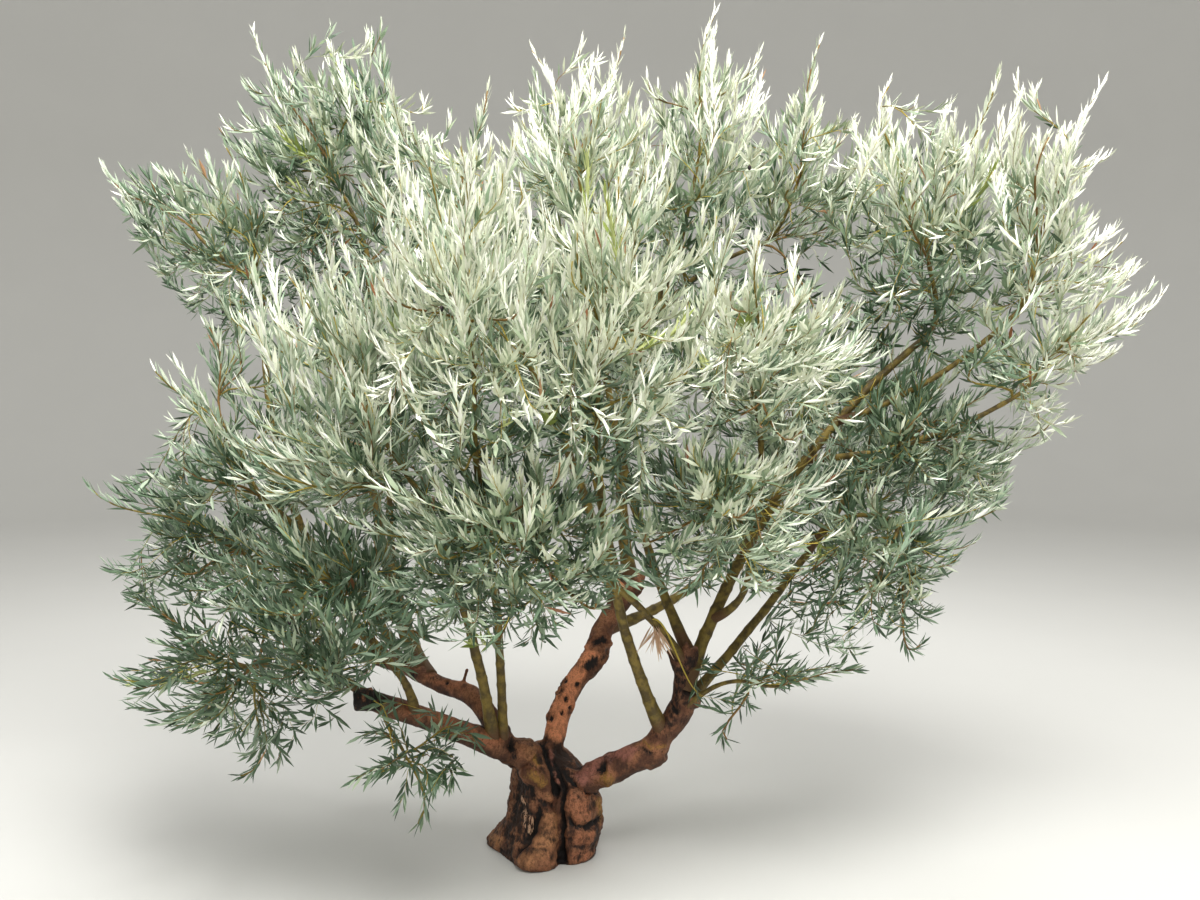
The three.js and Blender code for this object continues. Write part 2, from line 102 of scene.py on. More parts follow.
METRES = 0.001
BODY = "root"
UP = np.array([0.0, 0.0, 1.0])
AHEAD = np.array([0.0, 1.0, 0.0])
TINY = 1e-9
CURVE_POINTS = 65
SIGHT_MARKS = 60

# How far up a tube may head before its first ring is laid out from AHEAD and not from UP
STEEP = 0.8

# All bits of a 32-bit word and of its lower half, and how noise mixes a cell's place and its seed in one
WORD = 0xFFFFFFFF
HALF_WORD = 0xFFFF
CELL_FACTORS = (73856093, 19349663, 83492791, 97531)
MIX_STEPS = ((13, 1274126177), (15, 2246822519))
SEED_SHIFT = 37.7
NOISE_MIDDLE = 0.5

# The seeds of the random draws, apart from those that the part's source sets
REGION_SEED = 500
OLIVE_SEED = 900
TUFT_SEED = 901

# The reference view: the camera's place, its tilt in degrees, that tilt's cosine and sine, and the picture
# in pixels
EYE = np.array([187.0, -4040.0, 1600.0])
TILT = 3.4
LEVEL = math.cos(math.radians(TILT))
TIPPED = math.sin(math.radians(TILT))
FOCAL = 1214.0
PICTURE = (1200.0, 900.0)

# The trunk, as in the part's source
TRUNK_HEIGHT = 372.0
TRUNK_WAIST = 128.0
TRUNK_TAPER = 0.26
TRUNK_FLARE = 0.16
TRUNK_FLARE_HEIGHT = 60.0
TRUNK_DOME = 0.28
TRUNK_CROWN = 0.08
TRUNK_LEAN = np.array([-6.0, 10.0])

# The limbs, as in the part's source
COLLAR = 0.3
COLLAR_LENGTH = 2.5
BEAD_STEP = 25.0

# The rule of growth, as in the part's source
STEM_FIT = 0.96
STEM_TAPER = 0.5
STEM_REACH = 0.9
STEM_RISE = 0.12
FORKS_ON_STEM = (0.1, 0.25, 0.4, 0.55, 0.7, 0.85, 0.98)
FORKS_ON_TWIG = (0.3, 0.5, 0.7, 0.85)
TIP_DEPTHS = (0.78, 0.96)
TIP_CANDIDATES = 40
TURN_COST = 1.6
CROWN_HEART = np.array([80.0, 0.0, 900.0])
CROWN_LIFT = 0.75
CROWN_SQUASH = 0.75
SWEEP_OUT = 0.35
SWEEP_IN = 0.4
FIRST_SEED = 11
CLEARANCE = 0.3
LEAF_CLEARANCE = 9.0
SEAM = 0.02


@dataclass(frozen=True)
class Lobe:
    """A swelling or hollow of the trunk: headings and spread in degrees, the rest in millimetres."""

    name: str
    heading: float
    spread: float
    height: float
    tall: float
    out: float


LOBES = tuple(Lobe(*row) for row in (
    ("left foot", 158, 24, 0, 75, 68),
    ("front left foot", 262, 26, 20, 75, 52),
    ("right lobe", 322, 30, 130, 170, 44),
    ("right side", 358, 34, 130, 125, 56),
    ("back foot", 70, 34, 0, 80, 40),
    ("front groove", 293, 8, 110, 150, -46),
    ("left hollow", 205, 26, 210, 70, -20),
    ("back groove", 110, 12, 170, 130, -24),
    ("front knob", 250, 24, 330, 60, 26),
    ("right shoulder", 350, 34, 235, 60, 22),
))


@dataclass(frozen=True)
class Limb:
    """A bough or stem: where it leaves its parent, its tip, its bow, and its radius at root and tip."""

    name: str
    parent: str
    start: Place | float
    tip: Place
    bow: Place
    thick: float
    thin: float


LIMBS = tuple(Limb(*row) for row in (
    ("bough_left", "trunk", (-52, -30, 322), (-556, -262, 592), (4, 2, 4), 40, 32),
    ("bough_left_back", "bough_left", 0.16, (-610, 190, 617), (82, -21, 36), 37, 27),
    ("bough_middle", "trunk", (14, 0, 290), (316, 267, 873), (-48, -12, 4), 33, 38),
    ("bough_right", "trunk", (66, -22, 224), (388, -116, 392), (-10, -8, -6), 43, 46),
    ("bough_right_upright", "bough_right", 0.93, (474, -120, 722), (36, -4, -12), 39, 34),
    ("stem_front_left", "bough_left", 0.23, (-318, -420, 1180), (24, 0, 0), 22, 13),
    ("stem_front_crest", "bough_left", 0.17, (-172, -500, 1330), (14, 36, 10), 18, 12),
    ("stem_left_near", "bough_left", 0.72, (-545, -440, 860), (50, 0, -20), 18, 11),
    ("stem_front_hanging", "bough_left", 0.84, (-430, -440, 520), (-30, -20, 40), 11, 7),
    ("stem_left_bottom", "bough_left", 0.95, (-860, -230, 690), (10, 10, 30), 17, 10),
    ("stem_left_low", "bough_left_back", 0.97, (-930, 0, 950), (10, -30, -40), 18, 11),
    ("stem_left_middle", "bough_left_back", 0.86, (-870, -190, 1200), (50, -30, 20), 19, 12),
    ("stem_far_left", "bough_left_back", 0.92, (-1000, 250, 1850), (-110, 10, -110), 21, 12),
    ("stem_top_left", "bough_left_back", 0.78, (-640, 330, 1950), (-70, 0, -40), 22, 12),
    ("stem_rear_left", "bough_left_back", 0.7, (-620, 590, 1170), (-40, 40, -70), 20, 12),
    ("stem_rear_right", "bough_middle", 0.72, (830, 520, 1130), (40, 10, -60), 22, 13),
    ("stem_rear_centre", "bough_middle", 0.9, (150, 640, 1300), (10, -20, -60), 24, 13),
    ("stem_top_peak", "bough_middle", 0.97, (430, 330, 1960), (-90, 10, 0), 26, 12),
    ("stem_top_right", "stem_top_peak", 0.82, (760, 480, 2080), (-30, 0, 40), 13, 9),
    ("stem_top_inner_left", "bough_middle", 0.84, (-160, 200, 1850), (60, 0, -40), 22, 11),
    ("stem_front_right", "bough_right_upright", 0.16, (185, -450, 1330), (-40, 0, -20), 24, 12),
    ("stem_top_centre", "bough_right_upright", 0.96, (170, 40, 1980), (-60, 30, -20), 19, 10),
    ("stem_front_low", "bough_right_upright", 0.82, (40, -500, 1080), (23, 22, 44), 16, 10),
    ("stem_right_crown", "bough_right_upright", 0.62, (1290, 112, 1735), (-85, 10, 55), 25, 13),
    ("stem_right_outer", "stem_right_crown", 0.72, (1540, -40, 1800), (-10, -20, -50), 14, 9),
    ("stem_right_tip", "stem_right_crown", 0.6, (1500, -110, 1520), (0, -20, -40), 13, 9),
    ("stem_centre_right", "stem_right_crown", 0.33, (680, -250, 1480), (30, -30, -30), 15, 10),
    ("stem_centre_low", "stem_right_crown", 0.17, (640, -300, 1130), (50, -10, -40), 15, 10),
    ("stem_right_low", "bough_right_upright", 0.42, (1075, 130, 1250), (10, -6, -20), 20, 12),
    ("stem_right_bottom", "stem_right_low", 0.7, (1160, -40, 1130), (-30, 3, 60), 12, 9),
    ("stem_right_hanging", "bough_right_upright", 0.3, (640, -240, 640), (0, -10, 40), 11, 7),
))


@dataclass(frozen=True)
class Mass:
    """A mass of foliage: its shoots in the source, its space's middle and reach, and its leading tips."""

    name: str
    shoots: int
    middle: Place
    reach: Place
    leads: tuple[Place, ...]


MASSES = tuple(Mass(*row) for row in (
    ("top_left", 7, (-790, 360, 2310), (460, 380, 660), ((-1035, 320, 2850), (-630, 300, 2800))),
    ("far_left", 6, (-1250, 210, 2090), (430, 370, 430), ((-1590, 250, 2330),)),
    ("top_inner_left", 6, (-310, 90, 2110), (380, 380, 560), ((-190, 90, 2560),)),
    ("front_crest", 6, (-190, -620, 1720), (370, 400, 530), ((-290, -600, 2190), (-40, -590, 2150))),
    ("front_left", 6, (-560, -520, 1530), (380, 390, 490), ((-704, -540, 1890),)),
    ("front_right", 6, (190, -560, 1690), (320, 390, 530), ((240, -560, 2170),)),
    ("front_low", 6, (-110, -660, 1150), (430, 430, 310), ((-230, -1040, 1180),)),
    ("left_middle", 6, (-1040, -150, 1430), (370, 380, 400), ((-1050, -180, 1760), (-1220, -190, 1620))),
    ("left_low", 6, (-1140, -70, 1080), (420, 380, 330), ((-1475, -100, 1240), (-1410, -100, 965))),
    ("left_bottom", 6, (-1040, -230, 660), (430, 390, 370), ((-1400, -130, 620), (-970, -200, 320))),
    ("left_near", 6, (-600, -560, 990), (350, 390, 330), ((-700, -900, 1000),)),
    ("front_hanging", 4, (-400, -560, 460), (260, 260, 220), ((-348, -540, 290),)),
    ("top_centre", 6, (110, 40, 2290), (350, 380, 540), ((265, 0, 2710), (-40, 80, 2690))),
    ("top_peak", 6, (540, 230, 2310), (330, 380, 640), ((571, 110, 2860), (724, 130, 2690))),
    ("top_right", 6, (930, 360, 2300), (300, 370, 530), ((942, 210, 2745),)),
    ("right_crown", 6, (1310, 60, 2140), (380, 390, 560), ((1500, 20, 2600), (1140, 30, 2560))),
    ("right_outer", 6, (1660, -60, 2080), (330, 370, 590), ((1830, -20, 2560),)),
    ("right_tip", 6, (1690, -120, 1680), (400, 370, 330), ((2002, -110, 1870),)),
    ("right_low", 6, (1270, 20, 1390), (450, 390, 330), ((1665, -80, 1455),)),
    ("right_bottom", 6, (1120, -170, 990), (430, 370, 340), ((1460, -150, 1175), (1230, -150, 740))),
    ("centre_right", 6, (680, -360, 1690), (350, 390, 400), ((640, -560, 1990),)),
    ("centre_low", 6, (560, -440, 1230), (350, 390, 300), ((600, -800, 1260),)),
    ("right_hanging", 4, (780, -250, 600), (290, 260, 220), ((1015, -200, 666), (590, -250, 455))),
    ("rear_left", 7, (-640, 690, 1540), (490, 530, 680), ((-860, 780, 2080),)),
    ("rear_centre", 7, (140, 750, 1700), (490, 520, 700), ((140, 900, 2270),)),
    ("rear_right", 7, (980, 620, 1420), (540, 530, 570), ((1380, 680, 1730),)),
))


class Slot(Enum):
    """The record's material slots."""

    BARK = "bark"
    YOUNG_BARK = "young_bark"
    SILVER_LEAVES = "silver_leaves"
    GREY_LEAVES = "grey_leaves"


@dataclass(frozen=True)
class Region:
    """A part of the crown with one mesh of twigs and one of leaves, and its twigs to a cubic metre."""

    name: str
    slot: Slot
    density: float
    masses: tuple[str, ...]


REGIONS = tuple(Region(*row) for row in (
    ("left_top", Slot.SILVER_LEAVES, 740, ("top_left", "far_left", "top_inner_left")),
    ("left", Slot.SILVER_LEAVES, 900, ("left_middle",)),
    ("left_under", Slot.GREY_LEAVES, 880, ("left_low", "left_bottom")),
    ("front", Slot.SILVER_LEAVES, 1080, ("front_crest", "front_left", "front_right", "centre_right")),
    ("front_under", Slot.GREY_LEAVES, 1220, ("front_low", "left_near", "front_hanging", "centre_low")),
    ("top", Slot.SILVER_LEAVES, 800, ("top_centre", "top_peak", "top_right")),
    ("right", Slot.SILVER_LEAVES, 960, ("right_crown", "right_outer", "right_tip")),
    ("right_under", Slot.GREY_LEAVES, 1080, ("right_low", "right_bottom", "right_hanging")),
    ("rear", Slot.SILVER_LEAVES, 400, ("rear_left", "rear_centre", "rear_right")),
))


# The crown's outline in the reference view, by its outermost shoots and the notches between them, in pixels
OUTLINE = (
    (93, 164), (138, 158), (178, 156), (212, 130), (220, 106), (233, 132), (243, 68), (252, 80),
    (256, 2), (272, 74), (288, 40), (308, 28), (320, -4), (332, -4), (342, 58), (360, 12), (382, 10),
    (388, 78), (402, 112), (421, 86), (430, 140), (440, 134), (447, 102), (463, 130), (478, 98),
    (494, 96), (503, 124), (512, 86), (520, 100), (530, 38), (543, 96), (551, 62), (570, 70), (581, 26),
    (596, 38), (606, 64), (618, 28), (634, 84), (649, 62), (672, 88), (695, 58), (706, 60), (717, -4),
    (726, 36), (733, 42), (745, 72), (766, 42), (776, 102), (799, 82), (808, 92), (823, 28), (830, 96),
    (844, 106), (857, 104), (870, 120), (898, 66), (904, 134), (920, 88), (936, 128), (955, 86),
    (968, 120), (1000, 110), (1013, 78), (1025, 58), (1034, 108), (1045, 72), (1058, 128), (1076, 112),
    (1112, 64), (1090, 132), (1120, 140), (1090, 196), (1134, 226), (1106, 254), (1138, 248),
    (1172, 274), (1128, 350), (1066, 378), (1070, 424), (1036, 450), (1010, 506), (980, 546),
    (962, 564), (946, 608), (926, 634), (882, 628), (858, 684), (816, 690), (760, 692), (738, 752),
    (700, 742), (680, 640), (560, 690), (475, 745), (462, 818), (407, 830), (370, 812), (334, 788),
    (345, 735), (306, 735), (292, 776), (237, 790), (211, 774), (198, 732), (158, 734), (112, 722),
    (104, 674), (148, 630), (98, 568), (138, 525), (88, 476), (152, 442), (158, 372), (204, 326),
    (184, 304), (150, 266), (126, 228),
)

# Single long shoots at the crown's edge: where their tips show, in pixels, and how far back they stand
SPIRES = (
    (220, 113, 300), (243, 75, 300), (288, 47, 310), (308, 35, 280), (327, 2, 300), (378, 18, 280),
    (420, 92, 240), (138, 163, 220), (178, 160, 230), (437, 138, 120), (447, 108, 100), (477, 103, 90),
    (512, 92, 60), (551, 69, 60), (581, 33, 40), (597, 46, 70), (649, 69, 60), (695, 65, 140),
    (732, 48, 130), (799, 88, 220), (843, 111, 200), (857, 110, 80), (920, 95, 40), (955, 94, 30),
    (1024, 66, 20), (1044, 79, 0), (1076, 118, -10), (1116, 146, -20), (1131, 231, -60),
    (1135, 255, -90), (260, 366, -200), (232, 350, -170),
)


@dataclass(frozen=True)
class Opening:
    """A way through the crown in the reference view: its middle, half width and half height, in pixels."""

    name: str
    middle: Range
    reach: Range
    uneven: float = 0.5
    grain: float = 70.0
    seed: int = 61

    def clear(self, points: Array) -> Flags:
        """Whether each place is outside the opening."""
        aside = (seen(points) - np.array(self.middle)) / np.array(self.reach)
        edge = 1 + self.uneven * noise(points, self.grain, self.seed)
        return np.sum(aside**2, axis=1) > edge**2


OPENINGS = (
    Opening("right of the peak", (793, 250), (66, 45)),
    Opening("under the far left", (250, 374), (76, 46)),
)


@dataclass(frozen=True)
class Sight:
    """A stretch of a stem that shows in the reference view, and how wide the way to it is."""

    stem: str
    start: float
    end: float
    wide: float = 26.0


SIGHTS = (
    Sight("stem_right_crown", 0.0, 0.5),
    Sight("stem_right_crown", 0.58, 0.97, 20.0),
    Sight("stem_right_low", 0.25, 0.8, 18.0),
    Sight("stem_front_right", 0.0, 0.35),
)


def unit(vectors: Array) -> Array:
    """Gives each vector, along the last axis, a length of one."""
    return vectors / np.maximum(np.linalg.norm(vectors, axis=-1, keepdims=True), TINY)


def ramp(values: Array | float, low: float, high: float) -> Array:
    """Turns values into shares from 0 at low to 1 at high, with soft ends."""
    share = np.clip((np.asarray(values, float) - low) / (high - low), 0.0, 1.0)
    return share * share * (3 - 2 * share)


def seen(points: Array) -> Array:
    """Finds where places show in the reference view.

    Args:
        points: The places.

    Returns:
        How far across and down each one shows, in pixels.
    """
    gaps = points - EYE
    depth = gaps[:, 1] * LEVEL - gaps[:, 2] * TIPPED
    rise = gaps[:, 1] * TIPPED + gaps[:, 2] * LEVEL
    across = PICTURE[0] / 2 + FOCAL * gaps[:, 0] / depth
    down = PICTURE[1] / 2 - FOCAL * rise / depth
    return np.stack([across, down], axis=1)


def placed(across: float, down: float, back: float) -> Array:
    """Finds the place that shows at a spot of the reference view.

    Args:
        across: The spot's place across the picture, in pixels.
        down: Its place down the picture.
        back: How far back the place is: its Y, in millimetres.

    Returns:
        The place.
    """
    away = back - EYE[1]
    slope = (PICTURE[1] / 2 - down) / FOCAL
    rise = away * (slope * LEVEL - TIPPED) / (LEVEL + slope * TIPPED)
    depth = away * LEVEL - rise * TIPPED
    return EYE + np.array([(across - PICTURE[0] / 2) / FOCAL * depth, away, rise])


def within_outline(points: Array) -> Flags:
    """Tells which places show inside the crown's outline.

    Args:
        points: The places.

    Returns:
        For each one, whether it does.
    """
    across, down = seen(points).T[..., None]
    outline = np.array(OUTLINE, float)
    x0, y0 = outline.T
    x1, y1 = np.roll(outline, -1, axis=0).T
    passes = (y0 <= down) != (y1 <= down)
    edge = x0 + (down - y0) * (x1 - x0) / np.where(y0 == y1, 1, y1 - y0)
    return np.sum(passes & (across < edge), axis=1) % 2 == 1


def linear(red: int, green: int, blue: int) -> Colour:
    """Turns a colour as a screen shows it into the light that it stands for, by the sRGB rule.

    Args:
        red: Its red, from 0 to 255.
        green: Its green.
        blue: Its blue.

    Returns:
        The same three from 0 to 1.
    """

    def one(value: int) -> float:
        """Turns one channel."""
        share = value / 255
        return share / 12.92 if share <= 0.04045 else ((share + 0.055) / 1.055) ** 2.4

    return one(red), one(green), one(blue)


def noise(points: Array, size: float, seed: int) -> Array:
    """Smooth lumps from -1 to 1.

    Args:
        points: Places in millimetres, one to a row.
        size: How far it is from lump to lump.
        seed: Tells one pattern from another.

    Returns:
        One value for each place.
    """
    scaled = points / size + SEED_SHIFT * seed
    cell = np.floor(scaled).astype(np.int64)
    part = scaled - cell
    fade = part * part * (3 - 2 * part)
    total = np.zeros(len(points))
    for corner in itertools.product((0, 1), repeat=3):
        x, y, z = (cell + np.array(corner)).T
        key = np.bitwise_xor.reduce([axis * factor for axis, factor in zip((x, y, z), CELL_FACTORS)])
        key = key ^ (seed * CELL_FACTORS[-1])
        for shift, factor in MIX_STEPS:
            key = ((key ^ (key >> shift)) * factor) & WORD
        value = (key & HALF_WORD) / (HALF_WORD / 2) - 1
        total += value * np.prod(np.where(corner, fade, 1 - fade), axis=1)
    return total


@dataclass(frozen=True)
class Lumps:
    """A layer of relief made by noise: its height, how far it is from lump to lump, and its seed.

    Each octave after the first is finer noise on it, half as large and half as strong as the last.
    """

    height: float
    size: float
    seed: int
    octaves: int = 1

    def at(self, points: Array) -> Array:
        """The layer's height at each place."""
        layers = (noise(points, self.size / 2**i, self.seed + i) / 2**i for i in range(self.octaves))
        return self.height * (sum(layers) / (2 - 0.5 ** (self.octaves - 1)))

    def crests(self, points: Array) -> Array:
        """The height at each place of crests that run where the first noise is near zero."""
        return self.height * (1 - 2 * np.abs(noise(points, self.size, self.seed)))


class Seeded:
    """The source's generator of numbers from 0 to 1."""

    STRIDE = 0x6D2B79F5

    def __init__(self, seed: int) -> None:
        """Starts the generator from a seed."""
        self.state = seed & WORD

    def __call__(self) -> float:
        """Gives the next number."""
        self.state = (self.state + self.STRIDE) & WORD
        mixed = self.state
        mixed = ((mixed ^ (mixed >> 15)) * (mixed | 1)) & WORD
        mixed ^= (mixed + ((mixed ^ (mixed >> 7)) * (mixed | 61))) & WORD
        return (mixed ^ (mixed >> 14)) / (WORD + 1)


@dataclass(frozen=True, eq=False)
class Curve:
    """A Bezier curve through its first and last control points, in millimetres."""

    points: Array

    @staticmethod
    def blend(points: Array, t: Array) -> Array:
        """Mixes control points by their weights along a Bezier curve.

        Args:
            points: The control points, one to a row.
            t: Shares of the curve's length, from 0 to 1.

        Returns:
            The mixture at each share.
        """
        degree = len(points) - 1
        near, far = 1 - t[:, None], t[:, None]
        weights = [math.comb(degree, i) * far**i * near ** (degree - i) for i in range(degree + 1)]
        return sum(weight * point for weight, point in zip(weights, points))

    def at(self, t: Array | Sequence[float]) -> Array:
        """The places at the shares t."""
        return self.blend(self.points, np.asarray(t, float))

    def way(self, t: Array | Sequence[float]) -> Array:
        """The directions at the shares t."""
        return unit(self.blend(np.diff(self.points, axis=0), np.asarray(t, float)))

    @cached_property
    def length(self) -> float:
        """The curve's length."""
        steps = np.diff(self.at(np.linspace(0, 1, CURVE_POINTS)), axis=0)
        return float(np.linalg.norm(steps, axis=1).sum())


def sweep(root: Array, leaving: Array, tip: Array, arriving: Array) -> Curve:
    """Draws a curve from one place to another.

    Args:
        root: Where it begins.
        leaving: The way it begins.
        tip: Where it ends.
        arriving: The way it ends.

    Returns:
        The curve.
    """
    span = np.linalg.norm(tip - root)
    return Curve(np.array([root, root + SWEEP_OUT * span * leaving, tip - SWEEP_IN * span * arriving, tip]))


def growth_at(points: Array, lift: float = CROWN_LIFT) -> Array:
    """The way that a shoot's end points at each place: out of the crown's heart, and up by the lift."""
    out = unit((points - CROWN_HEART) * np.array([1, 1, CROWN_SQUASH]))
    return unit(out + lift * UP)


@dataclass(frozen=True, eq=False)
class GrownLimb:
    """A limb with the curve that it follows."""

    row: Limb
    curve: Curve

    def radius(self, t: Array) -> Array:
        """The radius at the shares t of its length."""
        collar = 1 + COLLAR * np.exp(-t * self.curve.length / (COLLAR_LENGTH * self.row.thick))
        return (self.row.thick + (self.row.thin - self.row.thick) * t) * collar

    def shares(self, step: float) -> Array:
        """Shares of its length from its root to its tip, at most a step apart."""
        return np.linspace(0, 1, math.ceil(self.curve.length / step) + 1)


class Skeleton:
    """All limbs in their places, and the beads along them that foliage keeps clear of."""

    def __init__(self) -> None:
        """Works out each limb's curve, parents first."""
        self.limbs: dict[str, GrownLimb] = {}
        for row in LIMBS:
            if isinstance(row.start, tuple):
                start = np.array(row.start, float)
            else:
                start = self.limbs[row.parent].curve.at([row.start])[0]
            tip = np.array(row.tip, float)
            bend = (start + tip) / 2 + 2 * np.array(row.bow, float)
            self.limbs[row.name] = GrownLimb(row, Curve(np.array([start, bend, tip])))
        grown = list(self.limbs.values())
        self.beads = np.concatenate([limb.curve.at(limb.shares(BEAD_STEP)) for limb in grown])
        self.bead_radii = np.concatenate([limb.radius(limb.shares(BEAD_STEP)) for limb in grown])

    def room_at(self, points: Array) -> Array:
        """How far each place is from the nearest limb's surface."""
        gaps = np.linalg.norm(points[:, None] - self.beads[None], axis=2) - self.bead_radii
        return gaps.min(axis=1)


class Sights:
    """The ways in front of the stems that show in the reference view."""

    def __init__(self, skeleton: Skeleton) -> None:
        """Works out where the stems that show lie."""
        marks = []
        for sight in SIGHTS:
            shares = np.linspace(sight.start, sight.end, SIGHT_MARKS)
            marks.append(skeleton.limbs[sight.stem].curve.at(shares))
        self.marks = np.concatenate(marks)
        self.wide = np.repeat([sight.wide for sight in SIGHTS], SIGHT_MARKS)

    def clear(self, points: Array) -> Flags:
        """Tells which places hide none of the stems that show.

        Args:
            points: The places.

        Returns:
            For each one, whether it leaves them all in sight.
        """
        ways = self.marks - EYE
        depths = np.linalg.norm(ways, axis=1)
        ways = ways / depths[:, None]
        gaps = points - EYE
        along = gaps @ ways.T
        aside = np.sqrt(np.maximum(np.sum(gaps**2, axis=1)[:, None] - along**2, 0))
        return ~np.any((aside < self.wide * along / depths) & (along < depths), axis=1)


class Spaces:
    """The spaces of all masses, and which of them owns a place."""

    def __init__(self, skeleton: Skeleton) -> None:
        """Keeps the middles and reaches, and the skeleton that foliage keeps clear of."""
        self.skeleton = skeleton
        self.sights = Sights(skeleton)
        self.middles = np.array([mass.middle for mass in MASSES], float)
        self.reaches = np.array([mass.reach for mass in MASSES], float)

    def depths(self, points: Array) -> Array:
        """How far each place is into each space: 0 in the middle and 1 at the edge."""
        return np.linalg.norm((points[:, None] - self.middles) / self.reaches, axis=2)

    def owned(self, points: Array, index: int) -> Flags:
        """Tells which places a mass owns: in its space, further in than in any other, clear of limbs.

        Args:
            points: The places.
            index: The mass's number.

        Returns:
            For each place, whether the mass owns it.
        """
        depths = self.depths(points)
        own = depths[:, index].copy()
        depths[:, index] = np.inf
        inside = (own <= 1) & (depths.min(axis=1) >= own + SEAM)
        inside[inside] = self.skeleton.room_at(points[inside]) >= LEAF_CLEARANCE
        return inside


def ring_walls(rings: int, sides: int) -> Whole:
    """Joins each ring of corners to the next with four-sided faces.

    Args:
        rings: How many rings there are, one after another.
        sides: How many corners a ring has.

    Returns:
        The faces' corners, four to a row.
    """
    start = np.arange(rings - 1)[:, None] * sides
    here = np.arange(sides)
    ahead = (here + 1) % sides
    over = start + sides
    return np.stack([start + here, start + ahead, over + ahead, over + here], axis=-1).reshape(-1, 4)


def ring_ends(rings: int, sides: int) -> Whole:
    """The faces that close the first and the last ring."""
    here = np.arange(sides)
    return np.array([here[::-1], here + (rings - 1) * sides])


@dataclass
class Shape:
    """A mesh in the making, in millimetres, with a finish's number for each face."""

    corners: list[Array] = field(default_factory=list)
    faces: list[Whole] = field(default_factory=list)
    finishes: list[Whole] = field(default_factory=list)
    values: dict[str, list[Array]] = field(default_factory=dict)
    count: int = 0

    def add(self, corners: Array, faces: Iterable[Whole], finish: int | Whole = 0, **values: Array) -> None:
        """Adds a body.

        Args:
            corners: Its corners, one to a row.
            faces: Arrays of faces, each with one number of corners to a face.
            finish: The finish of all faces, or of each one.
            values: A value for each corner, by the name that the finish reads.
        """
        for part in faces:
            self.faces.append(part + self.count)
            self.finishes.append(np.broadcast_to(finish, len(part)))
        for name, value in values.items():
            self.values.setdefault(name, []).append(np.broadcast_to(value, len(corners)))
        self.corners.append(corners)
        self.count += len(corners)

    def add_tube(self, centres: Array, radii: Array, sides: int, finish: int = 0, **values: Array) -> None:
        """Adds a closed tube through rings.

        Args:
            centres: The middles of its rings.
            radii: A radius for each ring, or one for each corner of each ring.
            sides: How many corners a ring has.
            finish: The finish of its faces.
            values: A value for each ring, by the name that the finish reads.
        """
        rings = len(centres)
        ways = unit(np.gradient(centres, axis=0))
        side = np.cross(ways[0], UP if abs(ways[0][2]) < STEEP else AHEAD)
        across = np.empty_like(ways)
        for i, way in enumerate(ways):
            side = unit(side - side.dot(way) * way)
            across[i] = side
        other = np.cross(ways, across)
        turns = np.arange(sides) * 2 * np.pi / sides
        out = across[:, None] * np.cos(turns)[:, None] + other[:, None] * np.sin(turns)[:, None]
        sizes = np.broadcast_to(np.asarray(radii, float).reshape(rings, -1), (rings, sides))
        corners = (centres[:, None] + out * sizes[..., None]).reshape(-1, 3)
        spread = {name: np.repeat(np.broadcast_to(value, rings), sides) for name, value in values.items()}
        self.add(corners, [ring_walls(rings, sides), ring_ends(rings, sides)], finish, **spread)

    def build(self, name: str, finishes: Sequence[Material], smooth: bool) -> bpy.types.Object:
        """Makes the mesh and its object, in metres.

        Args:
            name: The piece's name.
            finishes: The materials, in the order of the faces' finish numbers.
            smooth: Whether its faces are shaded as one curved surface.

        Returns:
            The object, linked into the scene.
        """
        mesh = bpy.data.meshes.new(name)
        corners = np.concatenate(self.corners) * METRES
        sizes = np.concatenate([np.full(len(part), part.shape[1]) for part in self.faces])
        around = np.concatenate([part.ravel() for part in self.faces])
        mesh.vertices.add(len(corners))
        mesh.vertices.foreach_set("co", corners.astype(np.float32).ravel())
        mesh.loops.add(len(around))
        mesh.loops.foreach_set("vertex_index", around.astype(np.int32))
        mesh.polygons.add(len(sizes))
        mesh.polygons.foreach_set("loop_start", (np.cumsum(sizes) - sizes).astype(np.int32))
        mesh.polygons.foreach_set("material_index", np.concatenate(self.finishes).astype(np.int32))
        mesh.polygons.foreach_set("use_smooth", np.full(len(sizes), smooth))
        for finish in finishes:
            mesh.materials.append(finish)
        for key, parts in self.values.items():
            write_values(mesh, key, np.concatenate(parts))
        mesh.update(calc_edges=True)
        mesh.validate()
        return add_object(name, mesh)


def write_values(mesh: bpy.types.Mesh, name: str, values: Array) -> None:
    """Keeps a value for each of a mesh's corners, for a finish to read by name."""
    layer = mesh.attributes.new(name, "FLOAT", "POINT")
    layer.data.foreach_set("value", values.astype(np.float32))


def add_object(name: str, data: bpy.types.ID) -> bpy.types.Object:
    """Links a new object into the scene.

    Args:
        name: Its name.
        data: Its mesh, light or camera.

    Returns:
        The object.
    """
    made = bpy.data.objects.new(name, data)
    bpy.context.scene.collection.objects.link(made)
    return made


def hand_over(piece: bpy.types.Object, nodes: Iterable[str] = ()) -> None:
    """Puts a finished piece on the tree's body, and reports it.

    Args:
        piece: The piece.
        nodes: The nodes of the CAD model that it takes the place of.
    """
    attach(piece, BODY)
    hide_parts(*nodes)
    log.info("%s: %d faces", piece.name, len(piece.data.polygons))


